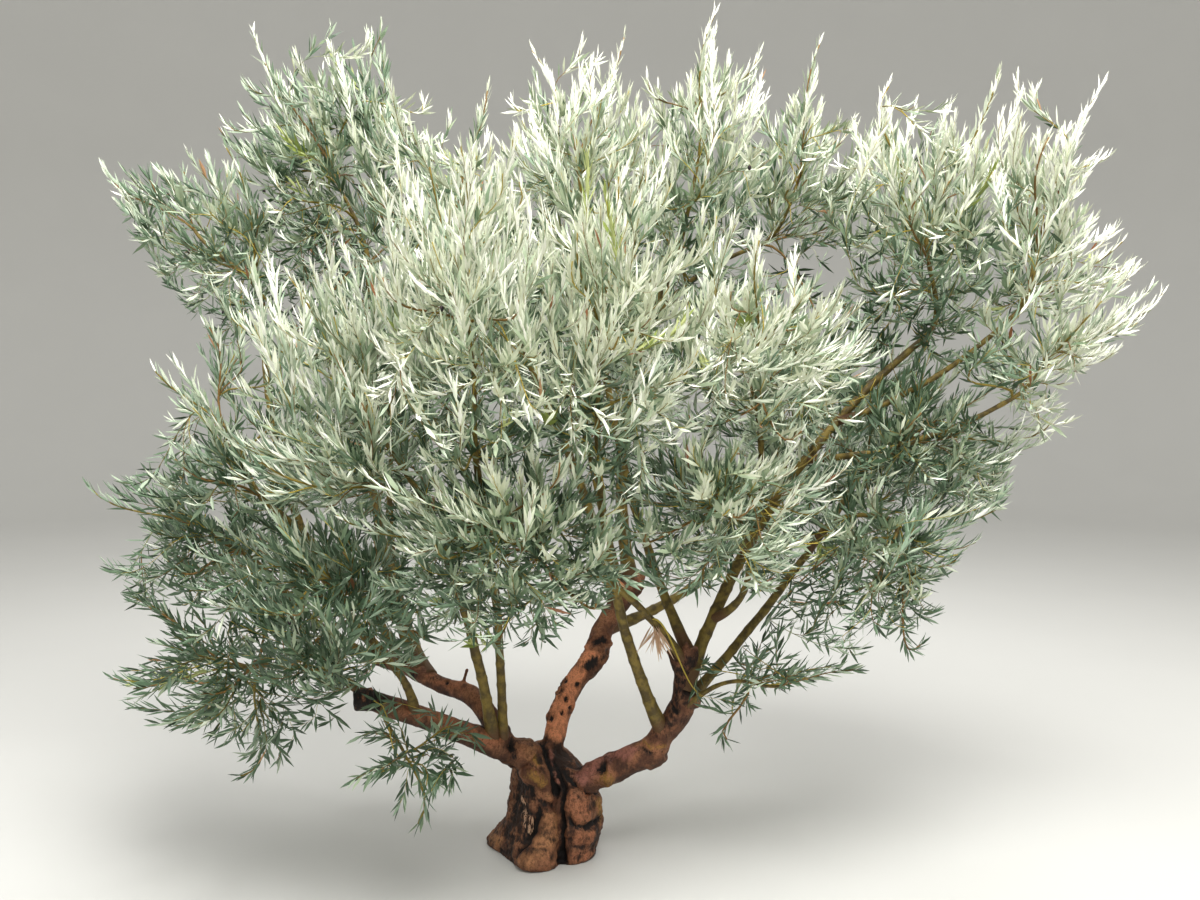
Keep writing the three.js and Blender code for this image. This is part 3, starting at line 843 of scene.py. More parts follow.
@dataclass(frozen=True, eq=False)
class Link:
    """A value in a finish's graph that can be reckoned with like a number."""

    graph: "Graph"
    socket: bpy.types.NodeSocket

    def reckon(self, operation: str, *others: "Link | float") -> "Link":
        """The result of a Math node on this value and others."""
        return self.graph.node("ShaderNodeMath", {"operation": operation}, [self, *others])

    def __add__(self, other: "Link | float") -> "Link":
        """Adds."""
        return self.reckon("ADD", other)

    __radd__ = __add__

    def __mul__(self, other: "Link | float") -> "Link":
        """Multiplies."""
        return self.reckon("MULTIPLY", other)

    __rmul__ = __mul__

    def __sub__(self, other: "Link | float") -> "Link":
        """Subtracts from this value."""
        return self.reckon("SUBTRACT", other)

    def __rsub__(self, other: float) -> "Link":
        """Subtracts this value."""
        return self.graph.node("ShaderNodeMath", {"operation": "SUBTRACT"}, [other, self])

    def ramp(self, low: float, high: float) -> "Link":
        """A share from 0 at low to 1 at high, with soft ends."""
        inputs = {"Value": self, "From Min": low, "From Max": high}
        return self.graph.node("ShaderNodeMapRange", {"interpolation_type": "SMOOTHSTEP"}, inputs)


class Graph:
    """The graph of one finish, made a node at a time."""

    def __init__(self, name: str) -> None:
        """Starts a material with a plain shader."""
        self.material = bpy.data.materials.new(name)
        self.material.use_nodes = True
        self.tree = self.material.node_tree
        self.tree.nodes.clear()
        self.shader = self.tree.nodes.new("ShaderNodeBsdfPrincipled")
        output = self.tree.nodes.new("ShaderNodeOutputMaterial")
        self.tree.links.new(self.shader.outputs["BSDF"], output.inputs["Surface"])

    def feed(self, socket: bpy.types.NodeSocket, value: "Link | float | Sequence[float]") -> None:
        """Links a value to a socket, or sets it there."""
        if isinstance(value, Link):
            self.tree.links.new(value.socket, socket)
        elif isinstance(value, tuple) and socket.type == "RGBA":
            socket.default_value = (*value, 1.0)
        else:
            socket.default_value = value

    def node(self, kind: str, settings: dict[str, str], inputs: dict | list, output: int | str = 0) -> Link:
        """Adds a node.

        Args:
            kind: The node's type.
            settings: Its own settings, which are made first.
            inputs: Values or links for its sockets, by name or in their order.
            output: The socket that the result is read from.

        Returns:
            The link to that socket.
        """
        made = self.tree.nodes.new(kind)
        for name, value in settings.items():
            setattr(made, name, value)
        named = inputs.items() if isinstance(inputs, dict) else enumerate(inputs)
        for key, value in named:
            self.feed(made.inputs[key], value)
        return Link(self, made.outputs[output])

    def place(self) -> Link:
        """The place on the piece, in metres."""
        return self.node("ShaderNodeTexCoord", {}, {}, "Object")

    def value(self, mark: "Mark") -> Link:
        """A value that the mesh keeps for each corner."""
        return self.node("ShaderNodeAttribute", {"attribute_name": mark.value}, {}, "Fac")

    def stretch(self, place: Link, scale: Place) -> Link:
        """The place with each axis scaled."""
        return self.node("ShaderNodeVectorMath", {"operation": "MULTIPLY"}, [place, scale])

    def grain(self, place: Link, size: float, detail: float = 2.0, roughness: float = 0.5) -> Link:
        """Adds noise.

        Args:
            place: The place on the piece.
            size: How far it is from lump to lump, in millimetres.
            detail: How many finer layers it has.
            roughness: How strong they are.

        Returns:
            The noise, from 0 to 1.
        """
        inputs = {"Vector": place, "Scale": 1 / (size * METRES), "Detail": detail, "Roughness": roughness}
        return self.node("ShaderNodeTexNoise", {}, inputs)

    def cells(self, place: Link, size: float) -> Link:
        """The distance to the nearest of scattered points, as a share of a size in millimetres."""
        inputs = {"Vector": place, "Scale": 1 / (size * METRES)}
        return self.node("ShaderNodeTexVoronoi", {}, inputs, "Distance")

    def mix(self, share: Link | float, low: Link | Colour, high: Link | Colour) -> Link:
        """Mixes two colours.

        Args:
            share: How much of the second one there is.
            low: The first colour.
            high: The second colour.

        Returns:
            The mixed colour.
        """
        made = self.tree.nodes.new("ShaderNodeMix")
        made.data_type = "RGBA"
        sockets = [socket for socket in made.inputs if socket.enabled]
        for socket, value in zip(sockets, (share, low, high)):
            self.feed(socket, value)
        result = next(socket for socket in made.outputs if socket.enabled)
        return Link(self, result)

    def bump(self, height: Link, depth: float) -> Link:
        """Normals for a height that is given as a share of a depth in millimetres."""
        inputs = {"Height": height, "Distance": depth * METRES, "Strength": 1.0}
        return self.node("ShaderNodeBump", {}, inputs, "Normal")

    def finish(self, **inputs: Link | float | Colour) -> Material:
        """Feeds the shader's sockets, with _ for a blank in their names, and gives the material."""
        for name, value in inputs.items():
            self.feed(self.shader.inputs[name.replace("_", " ")], value)
        return self.material


class Mark(Enum):
    """The values that a mesh keeps for each of its corners, by the names that the finishes read."""

    MOSS = "moss"
    # Dark scars, cracks and creases; also painted shade, under the knob and on the side of the upright
    SCAR = "scar"
    BARE = "bare"
    TAN = "tan"
    PALE = "pale"
    ORANGE = "orange"
    ROSE = "rose"
    ROUGH = "rough"
    HEIGHT = "height"
    # How far the surface faces down, for painted shade on the undersides
    UNDER = "under"
    AGE = "age"


@dataclass(frozen=True)
class Spots:
    """How a colour shows in spots: from which value on, at which one in full, and how much it covers."""

    low: float
    high: float
    cover: float = 1.0

    def share(self, value: Link) -> Link:
        """How much of the colour shows."""
        return value.ramp(self.low, self.high) * self.cover


@dataclass(frozen=True)
class Stain:
    """A colour that lies where the mesh is marked for it, with an edge that noise makes ragged."""

    mark: Mark
    colour: Colour
    ragged: float
    spots: Spots

    def share(self, graph: Graph, noise: Link) -> Link:
        """How much of it shows, for noise from 0 to 1."""
        return self.spots.share(graph.value(self.mark) + (noise - NOISE_MIDDLE) * self.ragged)

    def over(self, graph: Graph, colour: Link, noise: Link) -> Link:
        """A colour with the stain on it."""
        return graph.mix(self.share(graph, noise), colour, self.colour)


@dataclass(frozen=True)
class OldBark:
    """The finish of trunk and boughs: red-brown bark with dark scars, moss, bare wood and smooth bulges,
    with painted shade in its hollows and on its undersides.
    """

    deep: Colour = linear(28, 17, 12)
    plain: Colour = linear(94, 58, 40)
    light: Colour = linear(158, 106, 74)
    grey: Colour = linear(96, 76, 58)
    orange: Stain = Stain(Mark.ORANGE, linear(178, 114, 80), 1.5, Spots(0.2, 0.75, 0.8))
    rose: Stain = Stain(Mark.ROSE, linear(162, 104, 90), 1.4, Spots(0.25, 0.8, 0.85))
    tan: Stain = Stain(Mark.TAN, linear(182, 128, 84), 0.9, Spots(0.15, 0.8, 0.85))
    moss: Stain = Stain(Mark.MOSS, linear(172, 128, 60), 1.8, Spots(0.2, 0.8, 0.85))
    pale: Stain = Stain(Mark.PALE, linear(230, 150, 106), 1.1, Spots(0.2, 0.8, 0.9))
    # The near-black of scars, cracks and creases, which also serves as painted shade under the knob and on
    # the side of the upright
    scar: Stain = Stain(Mark.SCAR, linear(17, 11, 9), 1.3, Spots(0.3, 0.75))
    bare: Stain = Stain(Mark.BARE, linear(196, 156, 126), 3.2, Spots(0.5, 0.8))
    bare_edge: Spots = Spots(0.1, 0.3)
    light_lumps: Spots = Spots(0.38, 0.64)
    grey_patches: Spots = Spots(0.5, 0.62, 0.45)
    plain_grain: Spots = Spots(0.48, 0.66, 0.6)
    grain_under_pale: float = 0.6
    # Darker in the hollows of the relief: partly the darker bark in the crevices, partly painted shade
    hollow_bark_and_shade: Spots = Spots(0.35, 0.9, 0.92)
    level_depth: float = 0.45
    hollow_by_height: float = 0.6
    hollow_by_fibre: float = 0.8
    hollow_by_roughness: float = 0.2
    deep_fibres: Spots = Spots(0.48, 0.62, 0.75)
    # Painted shade: how much darker the faces that look down are made
    painted_underside_shade: float = 0.6
    deep_flecks: Spots = Spots(0.52, 0.7, 0.5)
    lump_size: float = 52.0
    patch_size: float = 26.0
    grain_size: float = 9.0
    fibre_size: float = 8.0
    fleck_size: float = 3.8
    strand_size: float = 5.0
    fibre_stretch: Place = (1, 1, 0.4)
    strand_stretch: Place = (1, 1, 0.12)
    relief_depth: float = 3.0
    fibre_height: float = 0.8
    fleck_height: float = 0.4
    roughness: float = 0.55
    fleck_roughness: float = 0.3
    gloss: float = 0.35

    def make(self) -> Material:
        """Makes the material."""
        graph = Graph("old_bark")
        place = graph.place()
        lump = graph.grain(place, self.lump_size, 3)
        patch = graph.grain(place, self.patch_size, 3, 0.6)
        fibre = graph.grain(graph.stretch(place, self.fibre_stretch), self.fibre_size, 3, 0.65)
        fleck = graph.grain(place, self.fleck_size, 2, 0.6)
        grain = graph.grain(place, self.grain_size, 3, 0.7)
        strand = graph.grain(graph.stretch(place, self.strand_stretch), self.strand_size, 1)
        rough = graph.value(Mark.ROUGH)
        colour = graph.mix(self.light_lumps.share(lump), self.plain, self.light)
        colour = self.orange.over(graph, colour, patch)
        colour = self.rose.over(graph, colour, lump)
        colour = graph.mix(rough * self.grey_patches.share(patch), colour, self.grey)
        colour = self.tan.over(graph, colour, patch)
        colour = self.moss.over(graph, colour, fibre)
        colour = self.pale.over(graph, colour, patch)
        grainy = self.plain_grain.share(grain) * (1 - self.grain_under_pale * graph.value(Mark.PALE))
        colour = graph.mix(grainy, colour, self.plain)
        # How deep in a hollow each place lies, for the darker crevice bark and the painted shade there
        depth = self.level_depth - graph.value(Mark.HEIGHT) * self.hollow_by_height
        depth = depth + (fibre - NOISE_MIDDLE) * self.hollow_by_fibre + rough * self.hollow_by_roughness
        colour = graph.mix(self.hollow_bark_and_shade.share(depth), colour, self.deep)
        colour = graph.mix(rough * self.deep_fibres.share(fibre), colour, self.deep)
        # Scars and cracks, and painted shade under the knob and on the upright's side
        colour = self.scar.over(graph, colour, fibre)
        # Painted shade on the faces that look down
        colour = graph.mix(graph.value(Mark.UNDER) * self.painted_underside_shade, colour, self.deep)
        splinters = self.bare.share(graph, strand) * self.bare_edge.share(graph.value(Mark.BARE))
        colour = graph.mix(splinters, colour, self.bare.colour)
        colour = graph.mix(self.deep_flecks.share(fleck), colour, self.deep)
        relief = fibre * self.fibre_height + fleck * self.fleck_height
        return graph.finish(
            Base_Color=colour,
            Roughness=self.roughness + fleck * self.fleck_roughness,
            Specular_IOR_Level=self.gloss,
            Normal=graph.bump(relief, self.relief_depth),
        )


@dataclass(frozen=True)
class StemBark:
    """The finish of the stems: smooth olive-green bark that turns brown towards its root."""

    green: Colour = linear(132, 112, 50)
    dull: Colour = linear(80, 66, 30)
    grey: Colour = linear(136, 126, 92)
    brown: Stain = Stain(Mark.AGE, linear(92, 64, 38), 0.9, Spots(0.3, 0.9))
    green_patches: Spots = Spots(0.35, 0.65)
    between_specks: Spots = Spots(0.08, 0.3)
    speck_cover: float = 0.35
    dull_streaks: Spots = Spots(0.5, 0.75, 0.4)
    mottle_size: float = 26.0
    speck_size: float = 4.0
    streak_stretch: Place = (1, 1, 0.2)
    wrinkle_depth: float = 0.8
    roughness: float = 0.5
    mottle_roughness: float = 0.25
    gloss: float = 0.4

    def make(self) -> Material:
        """Makes the material."""
        graph = Graph("stem_bark")
        place = graph.place()
        mottle = graph.grain(place, self.mottle_size, 3)
        streak = graph.grain(graph.stretch(place, self.streak_stretch), self.speck_size, 2, 0.6)
        speck = graph.cells(place, self.speck_size)
        colour = graph.mix(self.green_patches.share(mottle), self.dull, self.green)
        colour = self.brown.over(graph, colour, mottle)
        colour = graph.mix((1 - self.between_specks.share(speck)) * self.speck_cover, colour, self.grey)
        colour = graph.mix(self.dull_streaks.share(streak), colour, self.dull)
        return graph.finish(
            Base_Color=colour,
            Roughness=self.roughness + mottle * self.mottle_roughness,
            Specular_IOR_Level=self.gloss,
            Normal=graph.bump(streak, self.wrinkle_depth),
        )


@dataclass(frozen=True)
class Tint:
    """A colour of leaves: the upper side, the underside, and the light from which a leaf has it."""

    name: str
    upper: Colour
    under: Colour
    light: float
    upper_roughness: float = 0.42
    under_roughness: float = 0.7
    upper_gloss: float = 0.5
    under_gloss: float = 0.25

    def make(self) -> Materials:
        """Makes the materials of the upper side and the underside."""
        sides = (
            ("upper", self.upper, self.upper_roughness, self.upper_gloss),
            ("under", self.under, self.under_roughness, self.under_gloss),
        )
        made = []
        for side, colour, rough, gloss in sides:
            graph = Graph(f"leaf_{self.name}_{side}")
            made.append(graph.finish(Base_Color=colour, Roughness=rough, Specular_IOR_Level=gloss))
        return made


# From the darkest to the palest, which are dealt out by the light as painted shade and painted light, and
# then three that are dealt out on their own
TINTS = (
    Tint("deep", linear(56, 78, 52), linear(102, 124, 98), 0.0),
    Tint("grey", linear(84, 108, 82), linear(140, 160, 136), 0.11),
    Tint("sage", linear(120, 140, 110), linear(180, 194, 170), 0.24),
    Tint("silver", linear(160, 174, 144), linear(218, 225, 204), 0.42),
    Tint("white", linear(213, 218, 194), linear(252, 252, 240), 0.62),
    Tint("yellow", linear(142, 156, 80), linear(196, 204, 138), math.inf),
    Tint("dry", linear(150, 98, 64), linear(190, 146, 110), math.inf),
    Tint("straw", linear(212, 172, 140), linear(234, 206, 178), math.inf),
)
LIGHTS = np.array([tint.light for tint in TINTS])

# Where those three stand among the tints
YELLOW = 5
DRY = 6
STRAW = 7


@dataclass(frozen=True)
class TwigTint:
    """A colour of twigs."""

    name: str
    colour: Colour
    roughness: float = 0.6
    gloss: float = 0.3

    def make(self) -> Material:
        """Makes the material."""
        graph = Graph(f"twig_{self.name}")
        return graph.finish(Base_Color=self.colour, Roughness=self.roughness, Specular_IOR_Level=self.gloss)


TWIG_TINTS = (
    TwigTint("olive", linear(134, 116, 50)),
    TwigTint("yellow", linear(186, 164, 68)),
    TwigTint("brown", linear(136, 104, 58)),
    TwigTint("silver", linear(178, 182, 142)),
)

# Where the yellow one stands among the tints of twigs
YELLOW_WOOD = 1


@dataclass(frozen=True)
class Feature:
    """A form on the bark, at a place or along a line of places.

    It has its reach, how far it stands out, the mark that it leaves and how strongly, and how far its rim
    stands out.
    """

    name: str
    line: tuple[Place, ...]
    reach: float
    out: float
    mark: Mark | None = None
    strength: float = 1.0
    rim: float = 0.0

    def far(self, points: Array) -> Array:
        """Measures how far places are from the line.

        Args:
            points: The places.

        Returns:
            For each one, how far it is in millimetres.
        """
        if len(self.line) == 1:
            return np.linalg.norm(points - np.array(self.line[0]), axis=1)
        gaps = []
        for start, end in itertools.pairwise(np.array(self.line, float)):
            span = end - start
            share = np.clip((points - start) @ span / (span @ span), 0, 1)
            gaps.append(np.linalg.norm(points - start - share[:, None] * span, axis=1))
        return np.min(gaps, axis=0)


FEATURES = tuple(Feature(*row) for row in (
    ("knob", ((-50, -76, 350),), 42, 30, Mark.TAN, 0.5),
    ("head of the knob", ((-60, -62, 378),), 26, 9, Mark.ROUGH, 0.8),
    ("crust on the knob", ((-30, -84, 392), (-14, -86, 366), (-8, -84, 336)), 14, 3, Mark.SCAR, 0.6),
    ("crease left of the knob", ((-92, -84, 412), (-102, -96, 384), (-106, -90, 340), (-100, -60, 290)),
     12, -22, Mark.SCAR, 0.95),
    ("crease right of the knob", ((-6, -4, 372), (7, -66, 340), (28, -92, 288), (41, -92, 230)),
     13, -20, Mark.SCAR, 0.95),
    ("crease across the knob", ((-62, -92, 322), (-30, -96, 314)), 9, -8, Mark.SCAR, 0.55),
    ("moss on the knob", ((-35, -84, 346), (-22, -92, 324)), 13, 6, Mark.MOSS, 0.8),
    ("second lump", ((-30, -106, 292), (-1, -109, 266)), 19, 17, Mark.MOSS, 0.7),
    ("third lump", ((12, -112, 236), (24, -114, 218)), 16, 10, Mark.TAN, 0.5),
    # A hollow under the knob, with painted shade in it
    ("dark under the knob", ((-95, -36, 272), (-75, -85, 256), (-42, -104, 240)), 20, -13, Mark.SCAR, 0.75),
    ("hollow on the left", ((-92, -38, 225), (-102, -36, 173), (-107, -59, 124)), 20, -10, Mark.SCAR, 0.6),
    ("dead wood", ((-80, -71, 199), (-72, -94, 163), (-47, -119, 129), (-60, -132, 90)),
     36, -12, Mark.SCAR, 0.62),
    ("upper splinters", ((-82, -70, 208), (-70, -84, 190)), 9, 6, Mark.BARE, 0.8),
    ("splinters", ((-66, -96, 160), (-58, -112, 128)), 13, 8, Mark.BARE, 0.8),
    ("lower splinters", ((-48, -112, 146), (-40, -124, 110)), 11, 8, Mark.BARE, 0.8),
    ("rough left side", ((-110, -10, 200), (-142, 0, 81), (-120, -70, 42)), 44, -2, Mark.ROUGH),
    ("crust over the bulb", ((-34, -106, 214), (2, -116, 200), (34, -112, 188)), 15, -9, Mark.SCAR, 0.62),
    ("bulb", ((12, -123, 146), (18, -137, 99), (-15, -172, 56), (-50, -179, 24)), 36, 24, Mark.TAN, 0.6),
    ("crease at the bulb", ((-14, -118, 176), (-30, -134, 112), (-64, -150, 72), (-96, -138, 30)),
     11, -20, Mark.SCAR, 0.95),
    ("main groove", ((41, -67, 323), (58, -92, 278), (68, -104, 224), (61, -104, 167), (61, -110, 92),
     (65, -126, 4)), 13, -28, Mark.SCAR),
    ("ridge beside the groove", ((23, -43, 350), (40, -84, 305), (50, -96, 258)), 15, 9, Mark.ROSE),
    ("flakes on the ridge", ((30, -80, 322), (46, -92, 270), (52, -98, 215)), 12, 3, Mark.ROUGH),
    ("crease under the right bough", ((74, -81, 294), (101, -94, 258), (134, -90, 230), (180, -29, 202)),
     12, -13, Mark.SCAR, 0.85),
    ("rough right side", ((78, -84, 290), (112, -92, 246), (150, -84, 214)), 24, 2, Mark.ROUGH),
    ("right column", ((111, -106, 222), (118, -116, 176)), 40, 15, Mark.ORANGE, 0.9),
    ("edge of the right column", ((177, -66, 190), (187, -60, 140)), 24, 4, Mark.MOSS, 0.75),
    ("crack", ((85, -121, 150), (108, -125, 125), (141, -116, 118), (167, -95, 127), (187, -60, 134)),
     10, -16, Mark.SCAR),
    ("lower crack", ((82, -123, 84), (120, -124, 76), (176, -60, 70)), 9, -4, Mark.SCAR, 0.5),
    ("lowest crack", ((85, -129, 50), (134, -118, 38), (175, -56, 34)), 9, -5, Mark.SCAR, 0.5),
    ("lower right column", ((108, -126, 92), (158, -100, 88)), 30, 11, Mark.ORANGE, 0.75),
    ("right foot", ((104, -130, 30), (160, -90, 24)), 24, 6, Mark.ORANGE, 0.8),
    ("left foot", ((-184, 41, 27), (-151, -19, 33)), 32, 6, Mark.TAN, 0.7),
    ("saddle", ((58, -30, 345), (92, -48, 318)), 36, -17),
    ("smooth right bough", ((131, -94, 288), (187, -66, 337), (269, -117, 373)), 40, 0, Mark.ROSE),
    ("smooth left bough", ((-158, -119, 407), (-205, -139, 426), (-260, -165, 454)),
     30, 0, Mark.ORANGE, 0.9),
    # An orange streak along the left bough where the light catches it: a painted sheen, in the orange of
    # the bark
    ("warm left bough", ((-237, -140, 463), (-329, -184, 509), (-420, -220, 545)), 26, 0, Mark.ORANGE, 0.8),
    ("warm left back bough", ((-255, 27, 540), (-388, 65, 581)), 28, 0, Mark.ORANGE),
    ("warm middle bough", ((36, 20, 420), (57, 48, 491), (110, 80, 580)), 44, 0, Mark.ORANGE),
    ("pale middle bough", ((34, 10, 400), (52, 40, 480), (100, 70, 570), (150, 100, 650)),
     44, 0, Mark.PALE, 0.85),
    ("warm under the right bough", ((230, -110, 300), (330, -130, 350)), 24, 0, Mark.ORANGE, 0.7),
    ("hole on the right bough", ((190, -111, 318),), 20, -26, Mark.SCAR, 1.2, 10),
    ("bulge beside the hole", ((210, -126, 291),), 27, 22, Mark.MOSS, 0.85),
    ("bulge under the right bough", ((200, -104, 258),), 22, 7, Mark.TAN, 0.5),
    ("flakes on the right bough", ((212, -70, 350), (240, -94, 364)), 11, 6, Mark.SCAR, 0.65),
    ("ring on the right bough", ((331, -128, 410), (356, -158, 398), (392, -157, 408)),
     10, 7, Mark.MOSS, 0.55),
    ("crease at the ring", ((324, -138, 392), (352, -160, 380), (388, -152, 388)), 8, -7, Mark.SCAR, 0.6),
    # Painted shade on the upright: the rough mark darkens it and roughens its relief, and the scar mark
    # darkens its side
    ("dark upright", ((396, -141, 480), (430, -152, 530), (470, -150, 640)), 52, 0, Mark.ROUGH),
    ("dark side of the upright", ((380, -110, 440), (450, -120, 560), (470, -120, 700)),
     48, 0, Mark.SCAR, 0.52),
    ("burl", ((496, -152, 552),), 24, 6, Mark.TAN, 0.9),
    ("crease over the burl", ((468, -150, 586), (505, -140, 592)), 10, -9, Mark.SCAR, 0.8),
    ("crack under the upright", ((421, -144, 533), (440, -154, 517)), 9, -10, Mark.SCAR),
    ("broken top", ((440, -140, 690), (490, -140, 692)), 44, 0, Mark.SCAR, 0.5),
    ("great scar", ((150, 100, 604), (172, 122, 628), (200, 140, 654)), 21, -9, Mark.SCAR, 1.0, 7),
    ("upper scar", ((174, 128, 684), (200, 142, 688)), 18, -8, Mark.SCAR, 1.0, 6),
    ("scar a", ((70, 89, 557),), 11, -8, Mark.SCAR, 1.0, 5),
    ("scar b", ((105, 72, 551),), 11, -8, Mark.SCAR, 1.0, 5),
    ("scar c", ((53, 73, 520),), 11, -8, Mark.SCAR, 1.0, 5),
    ("scar d", ((71, 47, 502),), 10, -7, Mark.SCAR, 1.0, 5),
    ("scar e", ((91, 46, 478),), 11, -8, Mark.SCAR, 1.0, 5),
    ("scar f", ((23, 36, 439),), 11, -8, Mark.SCAR, 1.0, 5),
    ("scar g", ((58, 32, 465),), 10, -7, Mark.SCAR, 1.0, 4),
    ("flakes on the middle bough", ((58, 96, 560), (40, 78, 505), (14, 50, 440)), 9, 4, Mark.ROUGH),
    ("ring under the front stems", ((-204, -108, 450), (-165, -72, 440), (-124, -44, 434)),
     17, 6, Mark.SCAR, 0.75),
    ("end of the left bough", ((-535, -270, 590), (-600, -280, 586)), 42, 2, Mark.SCAR, 1.1),
    ("rim of the left back bough", ((-454, 92, 574),), 22, 5, Mark.SCAR, 0.7),
    ("end of the left back bough", ((-560, 160, 606), (-612, 190, 618)), 34, 0, Mark.SCAR, 0.7),
    ("spot on the left back bough", ((-334, 39, 563),), 9, -6, Mark.SCAR, 1.0, 4),
))


@dataclass(frozen=True)
class Kink:
    """A stretch of a bough that stands off its curve: where, how long, how far, and how wide it is."""

    bough: str
    share: float
    length: float
    shift: Place
    width: float = 1.0


KINKS = tuple(Kink(*row) for row in (
    ("bough_left_back", 0.36, 0.15, (-4, 0, 24)),
    ("bough_left_back", 0.66, 0.12, (0, 0, -12), 0.95),
    ("bough_middle", 0.28, 0.12, (-8, 0, 0)),
    ("bough_middle", 0.58, 0.1, (26, 0, 0), 1.1),
    ("bough_right", 0.97, 0.08, (0, 0, -4), 1.06),
    ("bough_right_upright", 0.16, 0.12, (-12, 0, 0), 0.88),
    ("bough_right_upright", 0.45, 0.12, (8, 0, 4), 1.08),
    ("bough_right_upright", 0.75, 0.14, (-20, 0, 0), 0.72),
))


@dataclass(frozen=True)
class Stub:
    """A short dead stump or knob that is joined to a bough before the bark's relief is made."""

    name: str
    root: Place
    tip: Place
    thick: float
    thin: float


STUBS = tuple(Stub(*row) for row in (
    ("left spike of the broken top", (446, -130, 655), (410, -136, 716), 26, 9),
    ("middle spike of the broken top", (464, -132, 680), (467, -146, 742), 25, 7),
    ("right spike of the broken top", (482, -122, 665), (502, -128, 704), 22, 8),
    ("burl", (462, -128, 545), (506, -150, 554), 30, 24),
    ("corner of the right bough", (340, -106, 348), (377, -118, 366), 42, 40),
    ("bulge of the middle bough", (170, 140, 640), (204, 140, 656), 34, 27),
    ("end of the middle bough", (302, 250, 846), (328, 276, 900), 36, 24),
    ("end of the left bough", (-530, -262, 588), (-586, -276, 586), 38, 30),
    ("dead twig", (-285, 44, 545), (-264, 40, 612), 8, 5),
))


